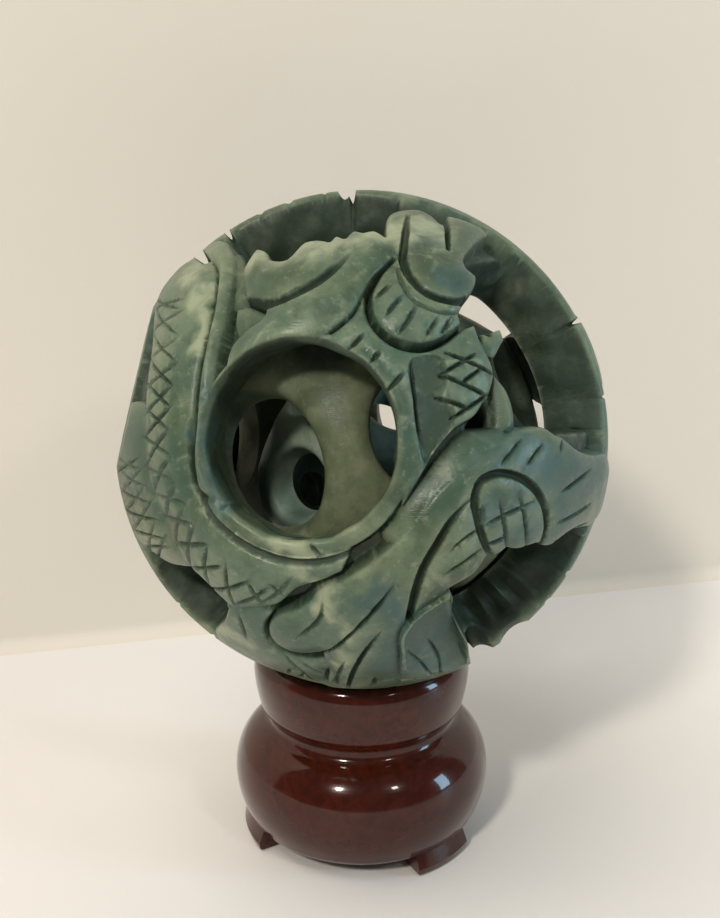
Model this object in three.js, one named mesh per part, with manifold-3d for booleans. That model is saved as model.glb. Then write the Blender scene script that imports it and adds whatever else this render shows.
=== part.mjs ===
import * as THREE from 'three';
import { mergeVertices } from 'three/addons/utils/BufferGeometryUtils.js';
import Module from 'manifold-3d';

// Jade puzzle ball on a turned wood stand. Millimetres, +Z up, origin on the floor on the stand's axis,
// the stand's front toward -Y.

// Driving dimensions
const BALL_CENTRE = 71.5; // height of the ball's centre
const CHART_RADIUS = 40; // the outlines below are arc lengths on a sphere of this radius
const TOP_LEVEL = 39.8; // highest relief of the carving
const HIGH_LEVEL = 39.3;
const MIDDLE_LEVEL = 38.4;
const LOW_LEVEL = 37.3;
const GROUND_LEVEL = 36.2; // bottom of the relief
const GROOVE_LEVEL = 37.7; // bottom of the main grooves
const FLAT_SPOT = 37.2; // distance of the worn flat at the left from the centre
const OUTER_BORE = 29.5; // inside radius of the outer shell
const FACE_TILT = 20; // degrees the carved face looks up
const REST_GAP = 0.3; // between a loose ball and the wall it rests on
// The two loose balls: radii, and each hole's compass direction, height and half-angle in degrees
const MIDDLE_BALL = {
  outside: 28.6,
  bore: 22.4,
  detail: 3,
  holes: [
    [-128, 7, 26], [-62, 23, 23], [21, 61, 22.5], [-12, 26, 14.5], [164, -4, 22], [-178, 55, 21],
    [14, -52, 22], [61, -4, 22], [-72, -38, 21], [-163, -59, 22], [104, -36, 23], [107, 25, 23],
  ],
};
const INNER_BALL = {
  outside: 17,
  bore: 12.6,
  detail: 2,
  holes: [
    [-130, 9, 21], [-52, 60, 18], [67, 27, 19], [138, -28, 14], [166, 19, 21], [-165, 62, 17],
    [12, 31, 19], [118, 50, 16], [-172, -41, 21], [-85, -39, 21], [46, -72, 21], [-32, -8, 21], [20, -22, 21],
  ],
};
const RIM_INSIDE = 54.2; // arc from the middle of the face to the rim
const RIM_OUTSIDE = 74;
const RING_CENTRE = [-9.4, -1];
const RING_EDGE = 17.2; // radius as an arc
const RING_HOLE_CENTRE = [-9.9, -0.7];
const RING_HOLE = 14.1; // radius of the straight drilled hole
const BACK_RING_CENTRE = [-7, 3];
const SIDE_HOLE_CENTRE = [42.5, 3];
const SIDE_HOLE = 8.5;
const SIDE_RING_EDGE = 11.5;
const CUP_RING_EDGE = 19.5;
const CUP_RING_HOLE = 11;
const CURVE_STEP = 3.2; // length of the straight stretches that make up a curved outline
const CARVED_FLATNESS = 0.2; // how far the carved ball's facets may leave its true surface
const PLAIN_FLATNESS = 0.15;

// Stand
const SEAT_GAP = 0.3;
const FOOT_HEIGHT = 4.5;
const FOOT_INSIDE = 14.6;
const FOOT_OUTSIDE = 20.3;
const FOOT_SPAN = 34; // degrees
const FOOT_TURNS = [-45, -165, 75]; // degrees from +X

const CONE_REACH = 70;
const REGION_REACH = 160;
const TINY = 1e-9;
const radians = THREE.MathUtils.degToRad;
const wasm = await Module();
wasm.setup();

// Front and back charts: u to the right, v up, measured along the surface from the middle
const tilt = radians(FACE_TILT);
const front = {
  side: new THREE.Vector3(1, 0, 0),
  up: new THREE.Vector3(0, Math.sin(tilt), Math.cos(tilt)),
  middle: new THREE.Vector3(0, -Math.cos(tilt), Math.sin(tilt)),
};
const back = {
  side: front.side.clone().negate(),
  up: front.up,
  middle: front.middle.clone().negate(),
};

function direction(chart, [u, v]) {
  const arc = Math.hypot(u, v);
  const angle = arc / CHART_RADIUS;
  const scale = arc > 0 ? Math.sin(angle) / arc : 0;
  return new THREE.Vector3()
    .addScaledVector(chart.middle, Math.cos(angle))
    .addScaledVector(chart.side, u * scale)
    .addScaledVector(chart.up, v * scale);
}

// Slope of a curve at a point, from its neighbours, weighted toward the nearer one
function slopeAt(before, here, after) {
  const arriving = Math.hypot(here[0] - before[0], here[1] - before[1]) + TINY;
  const leaving = Math.hypot(after[0] - here[0], after[1] - here[1]) + TINY;
  return [0, 1].map((k) => {
    const one = (here[k] - before[k]) / arriving;
    const two = (after[k] - here[k]) / leaving;
    return (one * leaving + two * arriving) / (arriving + leaving);
  });
}

// Smooth line through the points; a third value of 1 makes the point a sharp corner
function curve(points, closed = true) {
  const count = points.length;
  const at = (i) => points[closed ? (i + count) % count : Math.min(Math.max(i, 0), count - 1)];
  const line = [];
  for (let i = 0; i < (closed ? count : count - 1); i++) {
    const here = at(i);
    const next = at(i + 1);
    const length = Math.hypot(next[0] - here[0], next[1] - here[1]) + TINY;
    const chord = [(next[0] - here[0]) / length, (next[1] - here[1]) / length];
    const start = here[2] ? chord : slopeAt(at(i - 1), here, next);
    const end = next[2] ? chord : slopeAt(here, next, at(i + 2));
    const parts = Math.max(1, Math.round(length / CURVE_STEP));
    for (let k = 0; k < parts; k++) {
      const s = k / parts;
      const a = 2 * s ** 3 - 3 * s ** 2 + 1;
      const b = (s ** 3 - 2 * s ** 2 + s) * length;
      const c = (s ** 3 - s ** 2) * length;
      line.push([0, 1].map((j) => a * here[j] + b * start[j] + (1 - a) * next[j] + c * end[j]));
    }
  }
  if (!closed) line.push(points[count - 1].slice(0, 2));
  return line;
}

function circle(centre, radius, parts) {
  return Array.from({ length: parts }, (_, i) => {
    const a = (i / parts) * 2 * Math.PI;
    return [centre[0] + radius * Math.cos(a), centre[1] + radius * Math.sin(a)];
  });
}

// A pyramid from the ball's centre through a loop of directions; caps close its far end
function pyramid(loop, caps, reach) {
  const corners = loop.flatMap((way) => [way.x * reach, way.y * reach, way.z * reach]);
  const sides = loop.flatMap((_, i) => [0, ((i + 1) % loop.length) + 1, i + 1]);
  const end = caps.flatMap(([a, b, c]) => [a + 1, b + 1, c + 1]);
  return new wasm.Manifold(new wasm.Mesh({
    numProp: 3,
    vertProperties: new Float32Array([0, 0, 0, ...corners]),
    triVerts: new Uint32Array([...sides, ...end]),
  }));
}

// Everything under an outline on a chart, from the ball's centre to beyond its surface
function region(chart, outline) {
  const flat = outline.map(([u, v]) => new THREE.Vector2(u, v));
  if (THREE.ShapeUtils.isClockWise(flat)) flat.reverse();
  const caps = THREE.ShapeUtils.triangulateShape(flat, []);
  return pyramid(flat.map((p) => direction(chart, [p.x, p.y])), caps, REGION_REACH);
}

// Everything within an angle of an axis
function cone(axis, halfAngle, parts) {
  const aside = Math.abs(axis.z) < 0.9 ? new THREE.Vector3(0, 0, 1) : new THREE.Vector3(1, 0, 0);
  const side = aside.cross(axis).normalize();
  const other = axis.clone().cross(side);
  const loop = [];
  const caps = [];
  for (let i = 0; i < parts; i++) {
    const a = (i / parts) * 2 * Math.PI;
    const across = side.clone().multiplyScalar(Math.cos(a)).addScaledVector(other, Math.sin(a));
    loop.push(axis.clone().multiplyScalar(Math.cos(halfAngle)).addScaledVector(across, Math.sin(halfAngle)));
    if (i > 1) caps.push([0, i - 1, i]);
  }
  return pyramid(loop, caps, CONE_REACH / Math.cos(halfAngle));
}

// A closed solid from a three.js geometry, its shared vertices merged and its empty triangles dropped
function solidFrom(geometry) {
  const plain = geometry.clone();
  plain.deleteAttribute('normal');
  plain.deleteAttribute('uv');
  const joined = mergeVertices(plain, 1e-4);
  const triangles = [];
  for (let i = 0; i < joined.index.count; i += 3) {
    const [a, b, c] = joined.index.array.slice(i, i + 3);
    if (a !== b && b !== c && c !== a) triangles.push(a, b, c);
  }
  return new wasm.Manifold(new wasm.Mesh({
    numProp: 3,
    vertProperties: new Float32Array(joined.attributes.position.array),
    triVerts: new Uint32Array(triangles),
  }));
}

// A faceted ball whose facets lie as far outside the round surface as inside it
function ball(radius, detail) {
  const facets = 20 * (detail + 1) ** 2;
  return solidFrom(new THREE.IcosahedronGeometry(radius * (1 + 0.84 / facets), detail));
}

const unite = (solids) => solids.reduce((a, b) => a.add(b));

// A tapered groove along a line
function groove(chart, points, width, taper = [1, 1]) {
  const line = curve(points, false);
  const left = [];
  const right = [];
  line.forEach((p, i) => {
    const a = line[Math.max(i - 1, 0)];
    const b = line[Math.min(i + 1, line.length - 1)];
    const length = Math.hypot(b[0] - a[0], b[1] - a[1]);
    const across = [-(b[1] - a[1]) / length, (b[0] - a[0]) / length];
    const t = i / (line.length - 1);
    const first = taper[0] + (1 - taper[0]) * t * 3;
    const last = taper[1] + (1 - taper[1]) * (1 - t) * 3;
    const half = (width / 2) * Math.min(1, first, last);
    left.push([p[0] + across[0] * half, p[1] + across[1] * half]);
    right.unshift([p[0] - across[0] * half, p[1] - across[1] * half]);
  });
  return region(chart, [...left, ...right]);
}

// Carved face, from the highest relief down
const scaledBand = [
  [-37.4, 43], [-45, 48.3], [-52.9, 44.4], [-55.4, 35.9], [-48.3, 30.2], [-39.7, 16.3], [-39.3, 9.6],
  [-38.9, 1.5], [-38.7, -3.7], [-37.7, -8.4], [-34.5, -14], [-33.2, -19], [-30.4, -22.9],
  [-27.8, -25.2], [-25.2, -27.7], [-22.6, -30], [-17.5, -28.8], [-14.4, -27.7], [-9.3, -23.2],
  [-6.2, -22], [-2.9, -20.2, 1], [-1.4, -16.3, 1], [-9, -17.8], [-14.8, -17.1], [-19.5, -14.1],
  [-22.6, -9.8], [-26.3, -8.6], [-27, -4.9], [-26.5, 2.8], [-26.2, 9.8], [-25.6, 15.9], [-25.2, 21.9],
  [-26.4, 29.8],
];
const spike = [
  [-37, 43.3], [-34.7, 45.2], [-23.3, 31.7], [-22.5, 26.3], [-22.2, 18.9], [-22.9, 14.4],
  [-23.2, 10.1], [-23.8, 5.5], [-24.4, 1.2], [-24.4, -3.3], [-22.6, -9.8], [-26.3, -8.6], [-27, -4.9],
  [-26.5, 2.8], [-26.2, 9.8], [-25.6, 15.9], [-25.2, 21.9], [-26.4, 29.8],
];
const leaf = [
  [-21.2, 8.1], [-20.9, 11], [-20.5, 13.6], [-18.4, 16.5], [-15, 19.2], [-14.8, 20.4, 1], [-18, 21.9],
  [-19.8, 25.9], [-19.8, 29.9], [-18, 32.4], [-16.2, 31.4], [-15.1, 29.4], [-12.5, 28.9],
  [-11.3, 30.4], [-9.8, 32.3], [-7.1, 32.6], [-5.5, 32.1, 1], [-4.4, 33.5], [-2.9, 32.8, 1],
  [-1.3, 34.6], [0.2, 34.2, 1], [2.1, 34.7], [4.3, 32.7], [6, 30.5, 1], [4, 27.9], [1.7, 25.1],
  [0.1, 21.8], [-1.4, 18.9], [-4.1, 16.4], [-7.6, 13.7, 1], [-9.4, 11.6], [-14.4, 11], [-18.3, 7.8],
];
const crest = [
  [4.1, 31.7], [4.1, 35.3], [5.2, 39.9], [7.4, 41.6], [10.9, 42.4], [13.3, 40.8], [14.5, 38.6, 1],
  [16.9, 44.9, 1], [21.9, 44.3], [26.4, 42.5, 1], [19.9, 34.6], [17.6, 30.3], [17.8, 28.7],
  [19.4, 27.1], [18.6, 24.7], [16.3, 21.8, 1], [15.7, 18.1], [12.9, 15.7], [9.5, 14.1], [5.5, 14.4],
  [2.4, 17], [1.5, 20.7], [2.8, 24.9], [5.7, 29.1, 1],
];
const fan = [
  [-16.2, -32.7], [-14.1, -29.4], [-11, -28], [-8.6, -26.1], [-6.2, -23.1], [-2.4, -21.2],
  [2.7, -17.6], [6.9, -13], [11.1, -7.6], [15.5, -3.7], [20.3, -0.7], [24.7, 1.3], [28.7, 2],
  [32.6, 0.7], [38.2, -1.9], [56.9, -3, 1], [63.8, -4.5], [66.5, -14.1], [60.5, -20.8], [53.4, -20, 1],
  [39.4, -17.4], [31.9, -18.9], [29.7, -17.9, 1], [27.7, -18.1], [25.9, -18.4], [23.4, -17.7, 1],
  [22.2, -18.6], [19.7, -18.8, 1], [18.6, -20.9], [13.8, -24.2], [10.5, -27.1], [7.6, -29.6],
  [6.7, -32.8], [7, -37.5], [10.9, -56], [11.5, -65], [-12.6, -64.8], [-11.1, -56.9], [-6.7, -43.8],
  [-6.9, -37.8, 1], [-9.8, -38.8], [-13.8, -38.7], [-16.1, -36],
];
const neck = [
  [0.4, 22.3, 1], [0.8, 18.2], [2.6, 15.2], [5.3, 13.3], [9.5, 12.9], [12.5, 14.2], [16.3, 17.5, 1],
  [18, 18.2, 1], [18.9, 15.3], [20.6, 9.9], [19.4, 6.2, 1], [17.7, 3.9], [13.3, 1], [10.7, -2.1],
  [8.7, -5.6], [6, -10.1, 1], [5.3, -4.4], [5.6, 1.1], [4.2, 7.3], [0.5, 12.4], [-5.9, 13.2],
  [-7.3, 13.8, 1], [-4.1, 15.9], [-1.4, 18.4],
];
const outerBand = [
  [-38.9, 5.7], [-35.6, 3.1], [-34.4, -5.2], [-31.8, -13.5], [-28.7, -20.3], [-30.2, -23.3],
  [-34.8, -24.6], [-40.2, -25.2], [-44.8, -25], [-49.9, -27.6], [-59.5, -33], [-68.9, -12.2],
  [-67.5, 8.3], [-56.4, 7.9],
];
const lowerBlock = [
  [-24.1, -29.3], [-19.4, -28.7], [-14.7, -28], [-17, -32.6], [-16.6, -38.4], [-11.2, -40.8],
  [-5.6, -40.3], [-6, -45.2], [-9.1, -57.3], [-10.6, -67.2], [-40.9, -54.3], [-33.5, -46.1],
];
const toe = [
  [7, -37.5, 1], [6.6, -32.3], [8, -29.2], [12.3, -25.7], [15.2, -25], [16.4, -28.2], [17.1, -32.1],
  [19.5, -37.8], [22.1, -45.7], [23.6, -53], [27.7, -62.1], [7.1, -67.6], [7.9, -56.4],
];
const wedge = [
  [-20.8, 21.6, 1], [-18, 21.7, 1], [-15.1, 19.9], [-14, 18.9], [-16, 17.4], [-18.3, 15.5],
  [-19.8, 15.8, 1], [-20.8, 19],
];
const strut = [
  [18.7, 15.4], [20.8, 11.6], [24.1, 8], [25.4, 3.6], [25.3, 0.4, 1], [20.3, -0.8], [15.4, -1.7],
  [13.2, 0.3], [17.7, 3.8], [19.4, 5.9], [20.5, 8.6],
];
const backFace = [
  [-27, 39.1], [-24.5, 37.6, 1], [-20.8, 30.9], [-19.9, 26.8], [-18.7, 23.1], [-18.8, 21.3, 1],
  [-21.6, 21.5], [-23.8, 26.7],
];
const sunkFacet = [
  [8.4, 11.5], [11.8, 12.4], [12.2, 10.9], [11.1, 8.5], [10.6, 5.3], [9.8, 1.1], [8.8, -3.3],
  [7.9, -5.6], [8.2, -0.3], [7.9, 6],
];

// Openings round the carved face
const frontOpenings = [
  [
    [-24.2, 37.4, 1], [-20.9, 31.2], [-19.7, 29.4, 1], [-18, 32.4], [-16.2, 31.4], [-15.1, 29.4],
    [-12.5, 28.9], [-11.3, 30.4], [-9.8, 32.3], [-7.1, 32.6], [-5.5, 32.1, 1], [-4.4, 33.5],
    [-2.9, 32.8, 1], [-1.3, 34.6], [0.2, 34.2, 1], [2.1, 34.7], [4.3, 32.7, 1], [4.1, 35.3],
    [5.2, 39.9], [7, 42.2], [8.5, 53.8, 1], [1.9, 55.3], [-4.8, 55.3], [-14.4, 53.6], [-23.4, 50.1],
    [-29.1, 46.6],
  ],
  [
    [17.6, 30.3, 1], [17.8, 28.7], [19.4, 27.1], [18.6, 24.7], [16.3, 21.8, 1], [15.4, 18],
    [16.3, 17.5, 1], [18, 18.2, 1], [18.9, 15.3], [20.8, 11.6], [24.1, 8], [25.4, 3.6], [25.3, 1.4, 1],
    [28.7, 2], [32.6, 0.7, 1], [54.5, 1.9, 1], [54, 9.5], [51.7, 18.8], [47.6, 27.5], [42, 35.2],
    [34.7, 41.4], [26.7, 37.8], [21.4, 34.3],
  ],
  [
    [49.8, -22.2, 1], [39.4, -17.4], [31.9, -18.9], [29.7, -17.9, 1], [27.7, -18.1], [25.9, -18.4],
    [23.4, -17.7, 1], [22.2, -18.6], [19.7, -18.8, 1], [18.6, -20.9], [13.8, -24.2, 1], [16.2, -28.2],
    [17.1, -32.1], [19.1, -37, 1], [28.1, -44.9], [36.1, -40.1], [43.3, -33.9], [47.6, -27.5],
  ],
  [
    [-43.3, -25.2], [-40.2, -25.2], [-34.8, -24.6], [-30.2, -23.3, 1], [-27.8, -25.2], [-25.2, -27.7],
    [-23.5, -30, 1], [-25.3, -33.3], [-36.1, -41.5], [-41.2, -37.1], [-46, -31],
  ],
  [
    [19.4, 5.6], [20.3, 4.1], [20.6, 1.8, 1], [16.7, 1.6, 1], [17.8, 3.5],
  ],
];

// Carved back
const backBand = [
  [54, 34], [44, 34], [32, 28], [20, 20], [13.5, 12], [12, 2], [8.5, -7], [2, -13], [-6, -15.5], [-15, -13.5],
  [-23, -9, 1], [-24, -17], [-17, -24], [-6, -28], [6, -27], [16, -22], [23, -14], [27, -5], [31, 6],
  [38, 16], [48, 20], [57, 19],
];
const backLeaf = [
  [-4, 68, 1], [-3, 60], [-7, 48], [-5, 38], [0, 30], [8, 25, 1], [4, 20], [-6, 20], [-14, 18], [-21, 12],
  [-25, 4], [-29, -2, 1], [-33, 1], [-33, 10, 1], [-46, 12.5], [-66, 12], [-60, 36], [-54, 36.5, 1],
  [-42, 30], [-33, 22.5], [-27, 19.5, 1], [-20, 24.5], [-15, 31, 1], [-18, 39], [-24, 47], [-32, 60, 1],
  [-20, 68],
];
const backFan = [
  [-66, -4], [-45, -4], [-33, -4], [-27, -1], [-24, -6], [-26, -14], [-31, -20, 1], [-37, -18], [-42, -20, 1],
  [-49, -19.5], [-55, -23, 1], [-64, -26],
];
const backOpenings = [
  [[-15, 31, 1], [-20, 24.5], [-27, 19.5, 1], [-33, 22.5], [-42, 30], [-54, 36.5, 1], [-49, 43], [-41, 51],
    [-31, 58.5, 1], [-24, 46], [-17.5, 38.5]],
  [[-33, 10, 1], [-32, 4], [-33, -3, 1], [-45, -3.5], [-63, -3.5, 1], [-66, 4], [-65, 12, 1], [-46, 12.5]],
  [[-4, 28, 1], [4, 24], [12, 21, 1], [20, 28], [31, 36], [40, 42, 1], [38, 50], [22, 60], [10, 62.5],
    [-3, 63, 1], [-7, 48], [-5, 36]],
  [[25, -22, 1], [33, -16], [40, -21], [50, -25], [58, -30, 1], [54, -39], [46, -47], [36, -53, 1],
    [28, -44], [21, -32]],
  [[-24, -22, 1], [-31, -20, 1], [-37, -18], [-41, -20.5, 1], [-39, -26], [-35, -31.5], [-29, -37],
    [-24.5, -40, 1], [-21, -31]],
];

// The main grooves of the face
const grooves = [
  [[
  [-18, 22.1], [-14.8, 20.8], [-12, 20.9], [-8.9, 22.1], [-6, 24], [-3.6, 26.5], [-1.5, 29.2],
  ], 1.5, [0.8, 0.3]],
  [[
  [8.2, 39.3], [7.1, 32.5], [6.6, 27.9], [7.4, 24.2], [9.4, 21.8], [11.8, 20.8], [14.2, 20.8],
  [16.6, 22.1],
  ], 1.3, [0.6, 1]],
  [[
  [17.2, 47], [15.1, 36.9], [14.3, 31.2],
  ], 1.1, [1, 0.8]],
  [[
  [20.4, -18.5], [18.5, -15.6], [17, -11.7], [16.4, -8.4], [17.4, -6.2], [20, -5.2], [23.2, -5.7],
  [26.4, -7.5], [29, -10.6], [30.3, -14.2], [30.8, -18.4],
  ], 1.3, [1, 1]],
  [[
  [15.7, -8.9], [13, -11.8], [11, -15.4], [9.2, -18.8], [8.1, -23.2], [7.7, -29.1],
  ], 1.3, [0.3, 1]],
  [[
  [4.8, -21.8], [2.8, -25], [0.1, -29], [-2.9, -33], [-7.5, -38.5],
  ], 0.9, [0.3, 1]],
  [[
  [3.1, -30.8], [0.8, -35.3], [-1.2, -41.4], [-2.9, -53.8],
  ], 0.9, [0.3, 1]],
  [[
  [-2.7, 51.9], [-3.3, 62.9], [-4, 75.9],
  ], 1.5, [1, 1]],
  [[
  [45.6, 25], [55.3, 30.3], [66.7, 36.5],
  ], 1.2, [1, 1]],
  [[
  [-31, 35.3], [-39.6, 45.1], [-50.2, 57.1],
  ], 2.4, [0.8, 1]],
  [[
  [-25.5, 39.5], [-32.6, 50.4], [-41.3, 63.8],
  ], 1.3, [0.8, 1]],
];

// The carved ball: a ball of ground level with the raised forms added level by level, then its openings, its
// main grooves, the sunk facet, the worn flat and the hollow cut away
function outerBall() {
  const down = new THREE.Vector3(0, 0, -1);
  const shaped = (lists, chart) => lists.map((points) => region(chart, curve(points)));
  const ring = (centre, chart) => region(chart, circle(centre, RING_EDGE, 30));
  const rim = ball(HIGH_LEVEL, 6)
    .subtract(cone(front.middle, RIM_INSIDE / CHART_RADIUS, 48))
    .subtract(cone(back.middle, Math.PI - RIM_OUTSIDE / CHART_RADIUS, 48));
  const top = unite([
    ...shaped([scaledBand, leaf, crest, fan], front),
    ...shaped([backBand, backLeaf], back),
    cone(down, CUP_RING_EDGE / CHART_RADIUS, 32),
  ]).intersect(ball(TOP_LEVEL, 6));
  const high = unite([
    ...shaped([spike, outerBand, lowerBlock, toe], front),
    ...shaped([backFan], back),
  ]).intersect(ball(HIGH_LEVEL, 6));
  const middle = unite([
    ...shaped([neck, wedge], front),
    ring(RING_CENTRE, front),
    ring(BACK_RING_CENTRE, back),
    region(back, circle(SIDE_HOLE_CENTRE, SIDE_RING_EDGE, 24)),
  ]).intersect(ball(MIDDLE_LEVEL, 6));
  const low = unite(shaped([strut, backFace], front)).intersect(ball(LOW_LEVEL, 6));
  const relief = unite([ball(GROUND_LEVEL, 6), low, middle, high, top, rim]);
  const cuts = unite([
    ...shaped(frontOpenings, front),
    ...shaped(backOpenings, back),
    drilled(front, RING_HOLE_CENTRE),
    drilled(back, BACK_RING_CENTRE),
    region(back, circle(SIDE_HOLE_CENTRE, SIDE_HOLE, 20)),
    cone(down, CUP_RING_HOLE / CHART_RADIUS, 24),
  ]);
  const lines = unite(grooves.map(([points, width, taper]) => groove(front, points, width, taper)))
    .subtract(ball(GROOVE_LEVEL, 5));
  const facet = region(front, curve(sunkFacet)).subtract(ball(LOW_LEVEL, 5));
  return relief
    .subtract(cuts)
    .subtract(lines)
    .subtract(facet)
    .subtract(flatSpot())
    .subtract(ball(OUTER_BORE, 4))
    .asOriginal()
    .simplify(CARVED_FLATNESS);
}

// A ring's hole: one straight round hole toward the ball's centre
function drilled(chart, centre) {
  const axis = direction(chart, centre);
  const drill = new THREE.CylinderGeometry(RING_HOLE, RING_HOLE, CONE_REACH, 30);
  drill.translate(0, CONE_REACH / 2, 0);
  drill.applyQuaternion(new THREE.Quaternion().setFromUnitVectors(new THREE.Vector3(0, 1, 0), axis));
  return solidFrom(drill);
}

// The flat worn on the left of the face
function flatSpot() {
  const way = direction(front, [-54.6, 12.6]);
  const block = new THREE.BoxGeometry(50, 50, 20);
  block.applyQuaternion(new THREE.Quaternion().setFromUnitVectors(new THREE.Vector3(0, 0, 1), way));
  block.translate(...way.clone().multiplyScalar(FLAT_SPOT + 10).toArray());
  return solidFrom(block);
}

// A plain pierced ball
function piercedBall({ outside, bore, holes, detail }) {
  const cuts = holes.map(([compass, height, halfAngle]) => {
    const level = Math.cos(radians(height));
    const way = new THREE.Vector3(
      level * Math.cos(radians(compass)),
      level * Math.sin(radians(compass)),
      Math.sin(radians(height)),
    );
    return cone(way, radians(halfAngle), 12);
  });
  return ball(outside, detail)
    .subtract(unite(cuts))
    .subtract(ball(bore, detail - 1))
    .asOriginal()
    .simplify(PLAIN_FLATNESS);
}

// The stand: a turned profile from the cup down to the flat underside, and three feet
function standSolid() {
  const seat = TOP_LEVEL + SEAT_GAP;
  const dish = (radius) => BALL_CENTRE - Math.sqrt(seat ** 2 - radius ** 2);
  const profile = [
    [0, 29], [11, 29], [12.5, dish(12.5)], [15.5, dish(15.5)], // well and seat
    [16.5, 35], [17.6, 34.2], [18.2, 32.6], [18.3, 30.5], [17.5, 25.3], [16.8, 24], // collar
    [16, 23.3], [15.9, 22.2], [16.6, 20.9], // neck
    [20.1, 17.9], [21.5, 14.9], [21.9, 12], [21.2, 7.5], [19.8, 4.2], [19.2, 3.3], [0, 3.3], // body
  ].map(([r, z]) => new THREE.Vector2(r, z)).reverse();
  const body = solidFrom(new THREE.LatheGeometry(profile, 30).rotateX(Math.PI / 2));
  return unite([body, ...FOOT_TURNS.map(foot)]);
}

// A foot: a stretch of ring under the body's edge
function foot(turn) {
  const shape = new THREE.Shape();
  const from = radians(turn - FOOT_SPAN / 2);
  const to = radians(turn + FOOT_SPAN / 2);
  shape.absarc(0, 0, FOOT_OUTSIDE, from, to, false);
  shape.absarc(0, 0, FOOT_INSIDE, to, from, true);
  const settings = { depth: FOOT_HEIGHT, bevelEnabled: false, curveSegments: 4 };
  return solidFrom(new THREE.ExtrudeGeometry(shape, settings));
}

function meshOf(name, solid, colour, roughness, height) {
  const surface = solid.getMesh();
  const geometry = new THREE.BufferGeometry();
  geometry.setAttribute('position', new THREE.BufferAttribute(new Float32Array(surface.vertProperties), 3));
  geometry.setIndex(new THREE.BufferAttribute(new Uint32Array(surface.triVerts), 1));
  const material = new THREE.MeshStandardMaterial({ color: colour, roughness, metalness: 0 });
  const mesh = new THREE.Mesh(geometry, material);
  mesh.name = name;
  mesh.position.z = height;
  return mesh;
}

// Each loose ball rests on the bottom of the hollow around it
const middleCentre = BALL_CENTRE - (OUTER_BORE - MIDDLE_BALL.outside - REST_GAP);
const innerCentre = middleCentre - (MIDDLE_BALL.bore - INNER_BALL.outside - REST_GAP);

const object = new THREE.Group();
object.add(meshOf('outer_ball', outerBall(), 0x6f8a78, 0.4, BALL_CENTRE));
object.add(meshOf('middle_ball', piercedBall(MIDDLE_BALL), 0x62765f, 0.45, middleCentre));
object.add(meshOf('inner_ball', piercedBall(INNER_BALL), 0x5c6f5e, 0.45, innerCentre));
object.add(meshOf('stand', standSolid(), 0x4a1f1a, 0.25, 0));

export default object;
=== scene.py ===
import bmesh
import bpy
import math
import mathutils
import numpy as np
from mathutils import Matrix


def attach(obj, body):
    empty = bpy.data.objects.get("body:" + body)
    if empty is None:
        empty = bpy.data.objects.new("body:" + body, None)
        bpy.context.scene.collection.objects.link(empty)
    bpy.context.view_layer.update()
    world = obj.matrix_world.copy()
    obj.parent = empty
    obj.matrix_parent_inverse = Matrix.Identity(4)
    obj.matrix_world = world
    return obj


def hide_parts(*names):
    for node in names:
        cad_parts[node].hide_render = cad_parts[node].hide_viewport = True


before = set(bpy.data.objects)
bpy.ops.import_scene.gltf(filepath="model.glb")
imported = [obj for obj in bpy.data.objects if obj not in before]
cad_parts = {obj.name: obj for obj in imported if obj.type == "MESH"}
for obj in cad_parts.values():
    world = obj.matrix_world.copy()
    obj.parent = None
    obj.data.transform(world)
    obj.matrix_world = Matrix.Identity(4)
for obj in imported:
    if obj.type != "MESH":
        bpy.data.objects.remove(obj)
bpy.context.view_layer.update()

# The outer ball: one piece of green stone, turned to a ball and carved right through as openwork, with the dragon
# bands, leaves, crest and fan of the front left standing above the ground. It rests in the stand's cup.
BALL_CENTRE = 71.5  # mm above the floor
CHART_RADIUS = 40  # the outlines are arc lengths on a ball of this radius
OUTER_BORE = 29.5
GROUND_LEVEL = 36.2
TILT = math.radians(20)
FRONT = np.array([[1, 0, 0], [0, math.sin(TILT), math.cos(TILT)], [0, -math.cos(TILT), math.sin(TILT)]])
BACK = FRONT * np.array([[-1], [1], [-1]])


def unroll(chart, ways):
    """Directions from the ball's centre to places on a chart: u to the right, v up, in mm of arc from its middle."""
    side, up, middle = (ways @ chart.T).T
    reach = np.hypot(side, up)
    arc = CHART_RADIUS * np.arctan2(reach, middle) / np.maximum(reach, 1e-9)
    return np.stack([side * arc, up * arc], 1)


def roll(chart, places):
    """Places on a chart to directions from the ball's centre."""
    places = np.atleast_2d(np.asarray(places, float))
    arc = np.hypot(places[:, 0], places[:, 1])
    angle = arc / CHART_RADIUS
    scale = np.sin(angle) / np.maximum(arc, 1e-9)
    return places * scale[:, None] @ chart[:2] + np.cos(angle)[:, None] * chart[2]


def curve(points, step=1.1, closed=True):
    """A smooth line through the points; a third value of 1 makes a point a sharp corner."""
    count = len(points)
    spots = [np.array(p[:2], float) for p in points]
    sharp = [len(p) > 2 for p in points]
    at = (lambda i: i % count) if closed else (lambda i: min(max(i, 0), count - 1))
    line = []
    for i in range(count if closed else count - 1):
        before, here, there, after = (at(i + k) for k in (-1, 0, 1, 2))
        span = spots[there] - spots[here]
        length = np.hypot(*span) + 1e-9

        def slope(a, b, c):
            one = spots[b] - spots[a]
            two = spots[c] - spots[b]
            first, second = np.hypot(*one) + 1e-9, np.hypot(*two) + 1e-9
            return (one / first * second + two / second * first) / (first + second)

        start = span / length if sharp[here] else slope(before, here, there)
        end = span / length if sharp[there] else slope(here, there, after)
        parts = max(1, round(length / step))
        for s in np.arange(parts) / parts:
            a = 2 * s**3 - 3 * s**2 + 1
            line.append(
                a * spots[here] + (s**3 - 2 * s**2 + s) * start * length
                + (1 - a) * spots[there] + (s**3 - s**2) * end * length
            )
    if not closed:
        line.append(spots[-1])
    return np.array(line)


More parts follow.
